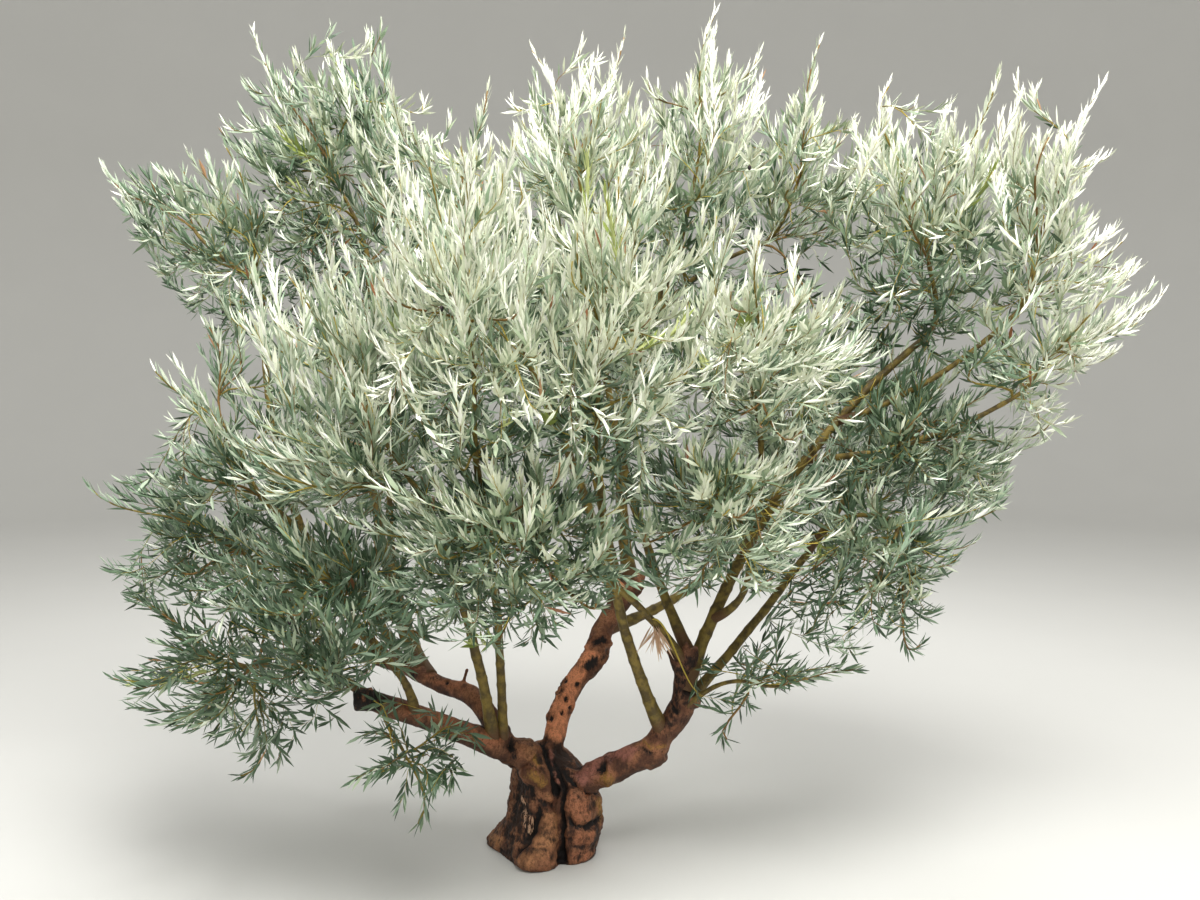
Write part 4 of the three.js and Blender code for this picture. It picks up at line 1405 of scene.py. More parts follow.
@dataclass
class Bark:
    """The bark of trunk and boughs as one mesh with its relief."""

    skeleton: Skeleton
    headings: int = 180
    trunk_step: float = 4.0
    bough_sides: int = 24
    bough_step: float = 10.0
    voxel: float = 4.1
    smoothing: int = 6
    smoothing_factor: float = 0.5
    stub_rings: int = 6
    stub_sides: int = 12
    trunk_end: Range = (330.0, 430.0)
    trunk_end_slope: float = 0.25
    upright_stretch: Place = (1, 1, 0.4)
    level_stretch: Place = (0.5, 0.5, 1.6)
    trunk_lumps: tuple[Lumps, ...] = (Lumps(6.0, 70, 3, 2), Lumps(5.0, 26, 5, 3))
    upright_crests: Lumps = Lumps(2.2, 22, 31)
    level_crests: Lumps = Lumps(2.2, 20, 33)
    bough_lumps: tuple[Lumps, ...] = (Lumps(3.4, 64, 7, 2), Lumps(2.0, 19, 9, 2))
    flakes: Lumps = Lumps(5.0, 14, 13, 2)
    unevenness: Lumps = Lumps(0.45, 20, 21, 3)
    warps: tuple[Lumps, ...] = tuple(Lumps(9.0, 34, seed, 2) for seed in (61, 65, 69))
    rim_place: float = 1.6
    rim_width: float = 0.45
    low_roughness: float = 0.5
    low_heights: Range = (200.0, 420.0)
    smooth_tan: Range = (0.2, 0.8)
    tan_smoothness: float = 0.5
    ground_fade: Range = (-1.0, 12.0)
    full_relief: float = 6.0
    full_hollow: float = 14.0
    # Painted shade on the undersides: how far a face looks down where it begins and where it is full
    underside: Range = (-0.15, 0.75)

    def trunk_radius(self, headings: Array, heights: Array) -> Array:
        """Works out the trunk's radius by the source's rule.

        Args:
            headings: Ways out of its axis, in degrees.
            heights: Heights, in millimetres.

        Returns:
            The radius at each heading and height.
        """
        share = heights / TRUNK_HEIGHT
        flare = TRUNK_FLARE * np.exp(-heights / TRUNK_FLARE_HEIGHT)
        radius = TRUNK_WAIST * (1 - TRUNK_TAPER * share**2 + flare)
        for lobe in LOBES:
            aside = ((headings - lobe.heading + 180) % 360 - 180) / lobe.spread
            above = (heights - lobe.height) / lobe.tall
            radius = radius + lobe.out * np.exp(-(aside**2) - above**2)
        domed = np.maximum(0, (share - 1) / TRUNK_DOME + 1)
        return radius * np.sqrt(np.maximum(TRUNK_CROWN, 1 - domed**2))

    def add_trunk(self, shape: Shape) -> None:
        """Adds the trunk as a tube whose rings take its outline."""
        heights = np.linspace(0, TRUNK_HEIGHT, round(TRUNK_HEIGHT / self.trunk_step) + 1)
        turns = np.arange(self.headings) * 360 / self.headings
        radii = self.trunk_radius(turns[None], heights[:, None])
        angles = np.radians(turns)
        corners = np.empty((len(heights), self.headings, 3))
        corners[..., 0] = radii * np.cos(angles) + TRUNK_LEAN[0] * heights[:, None] / TRUNK_HEIGHT
        corners[..., 1] = radii * np.sin(angles) + TRUNK_LEAN[1] * heights[:, None] / TRUNK_HEIGHT
        corners[..., 2] = heights[:, None]
        size = (len(heights), self.headings)
        shape.add(corners.reshape(-1, 3), [ring_walls(*size), ring_ends(*size)])

    def add_boughs(self, shape: Shape) -> None:
        """Adds each bough with its kinks, and each stub, as a tube."""
        for limb in self.skeleton.limbs.values():
            if not limb.row.name.startswith("bough"):
                continue
            t = limb.shares(self.bough_step)
            centres, radii = limb.curve.at(t), limb.radius(t)
            for kink in KINKS:
                if kink.bough == limb.row.name:
                    bell = np.exp(-(((t - kink.share) / kink.length) ** 2))
                    centres = centres + bell[:, None] * np.array(kink.shift)
                    radii = radii * (1 + (kink.width - 1) * bell)
            shape.add_tube(centres, radii, self.bough_sides)
        for stub in STUBS:
            t = np.linspace(0, 1, self.stub_rings)
            ends = np.array([stub.root, stub.tip], float)
            centres = ends[0] + t[:, None] * (ends[1] - ends[0])
            shape.add_tube(centres, stub.thick + (stub.thin - stub.thick) * t, self.stub_sides)

    def joined(self) -> bpy.types.Mesh:
        """Joins trunk, boughs and stubs into one closed, evenly divided and smoothed mesh."""
        shape = Shape()
        self.add_trunk(shape)
        self.add_boughs(shape)
        rough = shape.build("bark_rough", [], True)
        remesh = rough.modifiers.new("joined", "REMESH")
        remesh.mode = "VOXEL"
        remesh.voxel_size = self.voxel * METRES
        smooth = rough.modifiers.new("smoothed", "SMOOTH")
        smooth.iterations = self.smoothing
        smooth.factor = self.smoothing_factor
        graph = bpy.context.evaluated_depsgraph_get()
        mesh = bpy.data.meshes.new_from_object(rough.evaluated_get(graph))
        bpy.data.objects.remove(rough)
        return mesh

    def relief(self, points: Array, rough: Array) -> Array:
        """Works out how far the bark stands out, before its features.

        Args:
            points: Places on the mesh, in millimetres.
            rough: How rough each one is, from 0 to 1.

        Returns:
            How far each one stands out, in millimetres.
        """
        trunk = 1 - ramp(points[:, 2] + self.trunk_end_slope * np.abs(points[:, 0]), *self.trunk_end)
        coarse = sum(layer.at(points) for layer in self.trunk_lumps)
        coarse = coarse + self.upright_crests.crests(points * np.array(self.upright_stretch))
        coarse = coarse + self.level_crests.crests(points * np.array(self.level_stretch))
        fine = sum(layer.at(points) for layer in self.bough_lumps)
        return trunk * coarse + (1 - trunk) * fine + rough * self.flakes.at(points)

    def marked(self, points: Array) -> tuple[Array, dict[Mark, Array]]:
        """Works out what the features do.

        Args:
            points: Places on the mesh, in millimetres.

        Returns:
            How far each place stands out, and the marks on it.
        """
        out = np.zeros(len(points))
        marks = {feature.mark: np.zeros(len(points)) for feature in FEATURES if feature.mark}
        wobble = 1 + self.unevenness.at(points)
        bent = points + np.stack([warp.at(points) for warp in self.warps], axis=1)
        for feature in FEATURES:
            far = feature.far(bent) / (feature.reach * wobble)
            near = np.exp(-(far**2))
            rim = np.exp(-(((far - self.rim_place) / self.rim_width) ** 2))
            out += feature.out * near + feature.rim * rim
            if feature.mark:
                marks[feature.mark] = np.maximum(marks[feature.mark], feature.strength * near)
        return out, marks

    def build(self) -> None:
        """Makes the piece: relief, features, and the marks that its finish reads."""
        mesh = self.joined()
        flat = np.empty(3 * len(mesh.vertices), np.float32)
        mesh.vertices.foreach_get("co", flat)
        points = flat.reshape(-1, 3).astype(float) / METRES
        mesh.vertex_normals.foreach_get("vector", flat)
        normals = flat.reshape(-1, 3).astype(float)
        out, marks = self.marked(points)
        smooth = ramp(marks[Mark.TAN], *self.smooth_tan)
        low = self.low_roughness * (1 - ramp(points[:, 2], *self.low_heights))
        marks[Mark.ROUGH] = np.minimum(marks[Mark.ROUGH] + low * (1 - smooth), 1)
        relief = self.relief(points, marks[Mark.ROUGH]) * (1 - self.tan_smoothness * smooth)
        out += relief
        points = points + normals * (out * ramp(points[:, 2], *self.ground_fade))[:, None]
        points[:, 2] = np.maximum(points[:, 2], 0)
        mesh.vertices.foreach_set("co", (points * METRES).astype(np.float32).ravel())
        # How high or deep each place stands, which the finish turns into darker crevice bark and painted
        # shade in the hollows
        marks[Mark.HEIGHT] = relief / self.full_relief + np.minimum(out - relief, 0) / self.full_hollow
        # How far each place faces down, for the painted shade on the undersides
        marks[Mark.UNDER] = ramp(-normals[:, 2], *self.underside)
        for mark, values in marks.items():
            write_values(mesh, mark.value, values)
        mesh.materials.clear()
        mesh.materials.append(OldBark().make())
        mesh.polygons.foreach_set("use_smooth", np.full(len(mesh.polygons), True))
        mesh.update()
        boughs = [row.name for row in LIMBS if row.name.startswith("bough")]
        hand_over(add_object("bark", mesh), [*boughs, "trunk"])


@dataclass
class Stems:
    """All stems, each one tube from inside its parent to its tip inside the mass that it carries."""

    skeleton: Skeleton
    spaces: Spaces
    sides: int = 10
    step: float = 14.0
    node_step: float = 85.0
    node_swelling: float = 0.14
    node_length: float = 9.0
    node_shift: Lumps = Lumps(7.0, 90, 44)
    wander: Lumps = Lumps(3.0, 120, 40)
    wander_step: float = 900.0
    uneven: Lumps = Lumps(0.05, 30, 51)
    uneven_reach: float = 40.0
    fixed_root: Range = (60.0, 200.0)
    fixed_tip: Range = (0.0, 120.0)
    slimness: float = 0.86
    brown: Range = (20.0, 150.0)
    inner: dict[str, Curve] = field(default_factory=dict)

    def grow_inner(self) -> None:
        """Works out the stem of each mass, which goes on from its limb by the source's rule."""
        for mass in MASSES:
            limb = self.skeleton.limbs[f"stem_{mass.name}"]
            way = limb.curve.way([1.0])[0]
            root = np.array(limb.row.tip, float) + CLEARANCE * way
            tip = root + STEM_REACH * (np.array(mass.middle) - root) + STEM_RISE * mass.reach[2] * UP
            self.inner[mass.name] = sweep(root, way, tip, growth_at(tip))

    def path(self, name: str) -> tuple[Array, Array, Array]:
        """Lays out a stem from its root to its tip in the mass.

        Args:
            name: The mass's name.

        Returns:
            The rings' middles, their radii, and how far along the stem they are.
        """
        limb = self.skeleton.limbs[f"stem_{name}"]
        inner = self.inner[name]
        t = limb.shares(self.step)
        inside = np.linspace(0, 1, math.ceil(inner.length / self.step) + 1)[1:]
        centres = np.concatenate([limb.curve.at(t), inner.at(inside)])
        radii = np.concatenate([limb.radius(t), limb.row.thin * (STEM_FIT - STEM_TAPER * inside)])
        along = np.concatenate([t * limb.curve.length, limb.curve.length + inside * inner.length])
        free = ramp(along, *self.fixed_root) * ramp(along.max() - along, *self.fixed_tip)
        phase = (along / self.node_step + self.node_shift.at(centres[:1])[0]) % 1
        swelling = np.exp(-(((phase - 0.5) * self.node_step / self.node_length) ** 2))
        wanders = [replace(self.wander, seed=self.wander.seed + axis) for axis in range(3)]
        shift = [wander.at(centres + self.wander_step * axis) for axis, wander in enumerate(wanders)]
        slim = 1 - (1 - self.slimness) * free
        radii = radii * slim * (1 + self.node_swelling * swelling * free)
        return centres + np.stack(shift, axis=1) * free[:, None], radii, along

    def build(self) -> None:
        """Makes the piece."""
        shape = Shape()
        turns = np.arange(self.sides) * 2 * np.pi / self.sides
        around = np.stack([np.cos(turns), np.sin(turns), np.zeros(self.sides)], axis=1) * self.uneven_reach
        for mass in MASSES:
            centres, radii, along = self.path(mass.name)
            spread = (centres[:, None] + around).reshape(-1, 3)
            uneven = 1 + self.uneven.at(spread).reshape(len(centres), self.sides)
            shape.add_tube(centres, radii[:, None] * uneven, self.sides, age=1 - ramp(along, *self.brown))
        piece = shape.build("stems", [StemBark().make()], True)
        hand_over(piece, [row.name for row in LIMBS if row.name.startswith("stem")])


# Masses with fewer twigs than their region, and what share of them they have
SPARSE = {
    "front_hanging": 0.45,
    "right_hanging": 0.6,
    "left_bottom": 0.6,
    "left_low": 0.82,
    "right_bottom": 0.78,
}


@dataclass(frozen=True)
class Habit:
    """How a twig grows, in millimetres.

    It has its radius at its root, unless its parent is slimmer, the least way to its fork, how much of it
    bears leaves, and whether it leads: a leading twig may cross an opening or the outline.
    """

    thick: float
    least: float
    leafy: float
    leads: bool = False


class Kind(Enum):
    """The source's own twigs, single long ones at the crown's edge, long outer ones and fine ones."""

    FIRST = Habit(4.8, 0.0, 400.0, True)
    SPIRE = Habit(3.2, 95.0, 420.0, True)
    LONG = Habit(2.9, 260.0, 400.0)
    FINE = Habit(2.3, 95.0, 210.0)


@dataclass(frozen=True, eq=False)
class Twig:
    """A leafy twig: its curve, its radii, where its leaves begin, and how they are held."""

    curve: Curve
    root: float
    tip: float
    leafy_from: float
    lift: float


@dataclass
class Fork:
    """A place where a twig may leave its parent."""

    at: Array
    way: Array
    radius: float


@dataclass
class Growth:
    """The twigs of one mass: the source's own shoots first, then finer ones by the same rule."""

    index: int
    spaces: Spaces
    stem: Curve
    stem_radius: float
    density: float
    lowest: Array
    highest: Array
    edge: float = 45.0
    leaf_reach: float = 42.0
    stray: float = 0.03
    drawn: int = 9000
    candidates: int = 12
    fine_depths: Range = (0.28, 0.98)
    outward: float = 2.3
    leaving_turn: float = 0.45
    wobble: float = 0.16
    straightness: float = 0.55
    too_near_cost: float = 900.0
    tries: int = 6
    tested_from: float = 0.3
    tested_points: int = 5
    limb_room: float = 4.0
    root_fit: float = 0.8
    point_share: float = 0.5
    point_least: float = 0.35
    bare: Range = (0.18, 0.6)
    outer_way: float = 0.25
    outer_depth: float = 0.55
    reach_out: Range = (-95.0, 140.0)
    few_reach_far: float = 2.4
    droop_heights: Range = (420.0, 900.0)
    droop_turn: float = 1.2
    drooping_bareness: float = 0.5
    forks: list[Fork] = field(default_factory=list)
    twigs: list[Twig] = field(default_factory=list)

    def __post_init__(self) -> None:
        """Sets up both generators and the forks on the stem."""
        self.mass = MASSES[self.index]
        self.random = Seeded(FIRST_SEED + self.index)
        self.chance = np.random.default_rng(FIRST_SEED + self.index)
        self.droop = float(1 - ramp(self.mass.middle[2], *self.droop_heights))
        self.lift = CROWN_LIFT * (1 - self.droop_turn * self.droop)
        shares = np.array(FORKS_ON_STEM)
        radii = self.stem_radius * (STEM_FIT - STEM_TAPER * shares)
        for at, way, radius in zip(self.stem.at(shares), self.stem.way(shares), radii):
            self.forks.append(Fork(at, way, radius))

    def clear(self, points: Array) -> Flags:
        """Whether each place is outside all openings, and its leaves within the crown's outline."""
        ends = points + self.leaf_reach * growth_at(points, self.lift)
        return np.all([within_outline(ends), *(opening.clear(points) for opening in OPENINGS)], axis=0)

    def place_in(self, turn: Array, rise: Array, depth: Array) -> Array:
        """Finds places in the mass's space.

        Args:
            turn: How far round it each one is, in radians.
            rise: How far up it is, from -1 to 1.
            depth: How far out it is, from 0 in the middle to 1 at the edge.

        Returns:
            The places.
        """
        level = np.sqrt(1 - rise**2)
        way = np.stack([level * np.cos(turn), level * np.sin(turn), rise], axis=-1)
        return way * np.array(self.mass.reach) * np.asarray(depth)[..., None] + np.array(self.mass.middle)

    def first_tips(self) -> list[Array]:
        """The tips of the source's own shoots, drawn as the source draws them."""
        tips = [np.array(lead, float) for lead in self.mass.leads]
        low, high = TIP_DEPTHS
        while len(tips) < self.mass.shoots:
            draws = np.array([[self.random() for _ in range(3)] for _ in range(TIP_CANDIDATES)])
            turn, rise, depth = draws.T
            places = self.place_in(2 * np.pi * turn, 2 * rise - 1, low + (high - low) * depth)
            places = places[self.spaces.owned(places, self.index)]
            if len(places) == 0:
                break
            tips.append(self.roomiest(places, tips))
        return tips

    @staticmethod
    def roomiest(places: Array, tips: Sequence[Array]) -> Array:
        """The place that is farthest from all tips."""
        gaps = np.linalg.norm(places[:, None] - np.array(tips)[None], axis=2).min(axis=1)
        return places[int(np.argmax(gaps))]

    def fine_tips(self, first: Sequence[Array]) -> list[Array]:
        """Spreads the tips of finer twigs through the part of the space that the mass owns.

        Args:
            first: The tips that are there before them.

        Returns:
            The new tips.
        """
        low, high = (depth**self.outward for depth in self.fine_depths)
        turn, rise, share = self.chance.random((3, self.drawn))
        depth = (low + (high - low) * share) ** (1 / self.outward)
        places = self.place_in(2 * np.pi * turn, 2 * rise - 1, depth)
        places = places[self.spaces.owned(places, self.index)]
        free = self.clear(places) | (self.chance.random(len(places)) < self.stray) & within_outline(places)
        places = places[free]
        reach = np.array(self.mass.reach) * METRES
        volume = 4 / 3 * np.pi * np.prod(reach) * len(places) / self.drawn
        wanted = round(self.density * SPARSE.get(self.mass.name, 1) * volume)
        tips = list(first)
        for pool in np.array_split(places[: wanted * self.candidates], max(1, wanted)):
            if len(pool):
                tips.append(self.roomiest(pool, tips))
        return tips[len(first) :]

    def grow(self, tip: Array, kind: Kind) -> None:
        """Grows a twig to a tip from the best fork, or from the next best where a limb is in the way.

        Args:
            tip: Where the twig ends.
            kind: The kind of twig that it is.
        """
        habit = kind.value
        tip = np.clip(tip, self.lowest + self.edge, self.highest - self.edge)
        starts = np.array([fork.at for fork in self.forks])
        ways = np.array([fork.way for fork in self.forks])
        away = tip - starts
        span = np.linalg.norm(away, axis=1)
        cost = span * (TURN_COST - np.sum(unit(away) * ways, axis=1))
        cost += self.too_near_cost * (span < habit.least)
        ending = growth_at(tip[None], self.lift)[0] + self.wobble * self.chance.normal(size=3)
        for choice in np.argsort(cost)[: self.tries]:
            fork = self.forks[choice]
            leaving = unit((1 - self.leaving_turn) * fork.way + self.leaving_turn * unit(away[choice]))
            arriving = unit(ending + (0 if habit.leads else self.straightness) * unit(away[choice]))
            curve = sweep(fork.at, leaving, tip, arriving)
            passed = curve.at(np.linspace(self.tested_from, 1, self.tested_points))
            free = habit.leads or within_outline(passed[self.tested_points // 2 :]).all()
            if free and self.spaces.skeleton.room_at(passed).min() > self.limb_room:
                break
        else:
            return
        root = min(habit.thick, self.root_fit * fork.radius)
        leafy = habit.leafy * (1 - self.drooping_bareness * self.droop)
        bare = float(np.clip(1 - leafy / curve.length, *self.bare))
        point = self.point_share * root + self.point_least
        shares = np.array(FORKS_ON_TWIG)
        for share, at, way in zip(shares, curve.at(shares), curve.way(shares)):
            self.forks.append(Fork(at, way, root + (point - root) * share))
        self.twigs.append(Twig(curve, root, point, bare, self.lift / CROWN_LIFT))

    def build(self) -> list[Twig]:
        """Grows the source's own twigs, the spires nearest to this mass, and the finer twigs."""
        first = self.first_tips()
        for number, tip in enumerate(first):
            if number < len(self.mass.leads) or within_outline(tip[None])[0]:
                self.grow(tip, Kind.FIRST)
        for spire in SPIRES:
            tip = placed(*spire)
            tip = tip - self.leaf_reach * growth_at(tip[None], self.lift)[0]
            if int(np.argmin(self.spaces.depths(tip[None])[0])) == self.index:
                self.grow(tip, Kind.SPIRE)
                first.append(tip)
        middle = np.array(self.mass.middle)
        for tip in self.fine_tips(first):
            way = growth_at(tip[None], self.lift)[0]
            outer = np.dot(unit(tip - middle), way) > self.outer_way
            if outer and np.linalg.norm((tip - middle) / np.array(self.mass.reach)) > self.outer_depth:
                low, high = self.reach_out
                end = tip + (low + (high - low) * self.chance.random() ** self.few_reach_far) * way
                self.grow(end if self.clear(end[None])[0] else tip, Kind.LONG)
            else:
                self.grow(tip, Kind.FINE)
        return self.twigs


@dataclass(frozen=True)
class Daylight:
    """How much light each twig's tip has: less under and behind other tips, and less low in the crown."""

    near: float = 40.0
    far: float = 750.0
    narrow: float = 90.0
    widening: float = 0.4
    typical: float = 82.0
    low: float = 740.0
    high: float = 1540.0
    low_share: float = 0.14
    left: Range = (-1500.0, -50.0)
    left_share: float = 0.24
    free: Range = (1400.0, 2000.0)
    free_share: float = 0.34
    back: Range = (-50.0, 420.0)
    back_share: float = 0.64

    def at(self, tips: Array) -> Array:
        """Works out the light.

        Args:
            tips: All tips of the crown, one to a row.

        Returns:
            The light at each tip, from 0 to 1.
        """
        ways = growth_at(tips)
        shares = np.empty(len(tips))
        for i, (tip, way) in enumerate(zip(tips, ways)):
            gap = tips - tip
            along = gap @ way
            aside = np.sqrt(np.maximum(np.sum(gap**2, axis=1) - along**2, 0))
            over = (along > self.near) & (along < self.far) & (aside < self.narrow + self.widening * along)
            shares[i] = np.exp(-np.count_nonzero(over) / self.typical)
        shares *= self.low_share + (1 - self.low_share) * ramp(tips[:, 2], self.low, self.high)
        aside = self.left_share + (1 - self.left_share) * ramp(tips[:, 0], *self.left)
        shares *= aside + (1 - aside) * self.free_share * ramp(tips[:, 2], *self.free)
        return shares * (1 - (1 - self.back_share) * ramp(tips[:, 1], *self.back))


@dataclass
class Foliage:
    """The leaves and twigs of one region."""

    spaces: Spaces
    pair_step: float = 21.0
    least_pairs: int = 3
    pair_start: float = 0.6
    pair_change: float = 0.15
    turn_change: float = 0.22
    angle_change: float = 7.0
    roll_change: float = 0.4
    leaf_length: Range = (56.0, 80.0)
    end_size: float = 0.72
    middle_size: float = 0.34
    largest_early: float = 0.75
    leaf_middle: float = 0.6
    leaf_width: float = 0.15
    width_change: Range = (0.85, 1.2)
    bend: Range = (-0.02, 0.05)
    shade_spread: Range = (44.0, 14.0)
    sun_spread: Range = (36.0, 11.0)
    spread_light: Range = (0.1, 0.6)
    closing: float = 1.3
    lift: float = 0.42
    limb_room: float = 2.0
    missing: float = 0.06
    dry: float = 0.002
    yellow: float = 0.012
    root_light: float = 0.42
    spray_change: float = 0.12
    leaf_change: float = 0.15
    twig_step: float = 45.0
    least_steps: int = 3
    thick_root: float = 3.0
    thick_sides: int = 5
    thin_sides: int = 3
    thick_woods: tuple[float, ...] = (0.5, 0, 0.5, 0)
    thin_woods: tuple[float, ...] = (0.4, 0.25, 0.2, 0.15)
    leaves: Shape = field(default_factory=Shape)
    wood: Shape = field(default_factory=Shape)
    number: int = 0

    # Corners of a leaf: along its length, across its width and off its plane, as shares of each
    LEAF = np.array(
        [
            (0.0, 0.0, 0.0),
            (0.3, -0.46, 0.02),
            (0.7, -0.42, 0.02),
            (1.0, 0.0, 0.0),
            (0.48, 0.5, 0.02),
            (0.45, 0.0, -0.022),
        ]
    )
    UPPER = ((0, 1, 4), (1, 2, 4), (2, 3, 4))
    UNDER = ((5, 1, 0), (5, 2, 1), (5, 3, 2), (5, 4, 3), (5, 0, 4))

    def add_wood(self, twig: Twig, finish: int) -> None:
        """Adds a twig's own tube."""
        steps = max(self.least_steps, math.ceil(twig.curve.length / self.twig_step))
        t = np.linspace(0, 1, steps + 1)
        sides = self.thick_sides if twig.root > self.thick_root else self.thin_sides
        self.wood.add_tube(twig.curve.at(t), twig.root + (twig.tip - twig.root) * t, sides, finish)

    def add_leaves(self, twig: Twig, chance: Chance, light: float) -> None:
        """Adds a twig's leaves, in crossed pairs that close up towards its tip.

        Args:
            twig: The twig that bears them.
            chance: The generator for this region.
            light: The light at its tip.
        """
        leafy = twig.curve.length * (1 - twig.leafy_from)
        pairs = max(self.least_pairs, round(leafy / self.pair_step))
        count = 2 * pairs
        share = np.repeat((np.arange(pairs) + self.pair_start) / pairs, 2)
        share = np.clip(share + chance.normal(0, self.pair_change / pairs, count), 0, 1)
        t = twig.leafy_from + (1 - twig.leafy_from) * share
        at, way = twig.curve.at(t), twig.curve.way(t)
        side = unit(np.cross(way, unit(chance.normal(size=3))))
        other = np.cross(way, side)
        turn = np.repeat(chance.uniform(0, np.pi) + np.arange(pairs) * np.pi / 2, 2)
        turn = turn + np.tile([0, np.pi], pairs) + chance.normal(0, self.turn_change, count)
        out = side * np.cos(turn)[:, None] + other * np.sin(turn)[:, None]
        sun = ramp(light, *self.spread_light)
        wide, narrow = np.array(self.shade_spread) * (1 - sun) + np.array(self.sun_spread) * sun
        angle = wide + (narrow - wide) * share**self.closing + chance.normal(0, self.angle_change, count)
        angle = np.radians(angle)[:, None]
        heading = unit(way * np.cos(angle) + out * np.sin(angle) + UP * self.lift * twig.lift)
        face = unit(way - np.sum(way * heading, axis=1)[:, None] * heading)
        roll = chance.normal(0, self.roll_change, count)[:, None]
        face = face * np.cos(roll) + np.cross(heading, face) * np.sin(roll)
        size = chance.uniform(*self.leaf_length, count)
        size = size * (self.end_size + self.middle_size * np.sin(np.pi * share**self.largest_early))
        # The tint follows the light at the tip and along the twig: the darker tints are painted shade and
        # the paler ones painted light, changed at random from spray to spray and leaf to leaf
        brightness = light * (self.root_light + (1 - self.root_light) * share)
        brightness = brightness + chance.normal(0, self.spray_change)
        brightness = brightness + chance.normal(0, self.leaf_change, count)
        tints = np.maximum(np.searchsorted(LIGHTS[:YELLOW], brightness) - 1, 0)
        if chance.random() < self.yellow:
            tints[:] = YELLOW
        tints = np.where(chance.random(count) < self.dry, DRY, tints)
        middles = at + heading * (self.leaf_middle * size)[:, None]
        keep = chance.random(count) > self.missing
        keep &= self.spaces.skeleton.room_at(middles) > self.limb_room
        keep &= self.spaces.sights.clear(middles)
        self.place_leaves(at[keep], heading[keep], face[keep], size[keep], tints[keep], chance)

    def place_leaves(
        self, at: Array, heading: Array, face: Array, size: Array, tints: Whole,
        chance: Chance, slim: float = 1.0,
    ) -> None:
        """Sets a leaf's outline at each place.

        Args:
            at: Where each leaf begins.
            heading: The way it points.
            face: The way its upper side looks.
            size: Its length.
            tints: Its tint.
            chance: The generator for its bend and its width.
            slim: Its width as a share of the usual one.
        """
        count = len(at)
        if count == 0:
            return
        across = np.cross(face, heading)
        bend = chance.normal(*self.bend, count)
        width = slim * self.leaf_width * chance.uniform(*self.width_change, count)
        x, y, z = self.LEAF.T
        lift = z + bend[:, None] * x**2
        corners = at[:, None] + size[:, None, None] * (
            x[None, :, None] * heading[:, None]
            + (width[:, None] * y)[..., None] * across[:, None]
            + lift[..., None] * face[:, None]
        )
        start = len(self.LEAF) * np.arange(count)[:, None, None]
        faces = [(np.array(side) + start).reshape(-1, 3) for side in (self.UPPER, self.UNDER)]
        finish = np.repeat(2 * tints, len(self.UPPER)), np.repeat(2 * tints + 1, len(self.UNDER))
        self.leaves.add(corners.reshape(-1, 3), [np.concatenate(faces)], np.concatenate(finish))
        self.number += count

    def grow(self, region: Region, twigs: Sequence[Twig], lights: Sequence[float]) -> None:
        """Adds the wood and the leaves of all twigs of a region.

        Args:
            region: The part of the crown.
            twigs: Its twigs.
            lights: The light at each twig's tip.
        """
        chance = np.random.default_rng(REGION_SEED + REGIONS.index(region))
        for twig, light in zip(twigs, lights):
            shares = self.thin_woods if twig.root < self.thick_root else self.thick_woods
            self.add_wood(twig, int(chance.choice(len(shares), p=shares)))
            self.add_leaves(twig, chance, float(light))
        log.info("%s: %d twigs, %d leaves", region.name, len(twigs), self.number)

    def build(self, region: Region, finishes: Materials, woods: Materials) -> None:
        """Makes the region's two pieces, from two materials to a tint of leaves, and one to a twig's."""
        leaves = self.leaves.build(f"leaves_{region.name}", finishes, False)
        hand_over(leaves, [f"leaves_{name}" for name in region.masses])
        hand_over(self.wood.build(f"twigs_{region.name}", woods, True))


@dataclass(frozen=True)
class OliveSkin:
    """The finish of the ripe olives: dark purple, a little redder in places, with a dull bloom."""

    dark: Colour = linear(30, 20, 30)
    red: Colour = linear(78, 34, 44)
    red_patches: Spots = Spots(0.5, 0.75)
    patch_size: float = 9.0
    roughness: float = 0.3
    patch_roughness: float = 0.2
    gloss: float = 0.5

    def make(self) -> Material:
        """Makes the material."""
        graph = Graph("olive_skin")
        patch = graph.grain(graph.place(), self.patch_size, 1)
        colour = graph.mix(self.red_patches.share(patch), self.dark, self.red)
        roughness = self.roughness + patch * self.patch_roughness
        return graph.finish(Base_Color=colour, Roughness=roughness, Specular_IOR_Level=self.gloss)


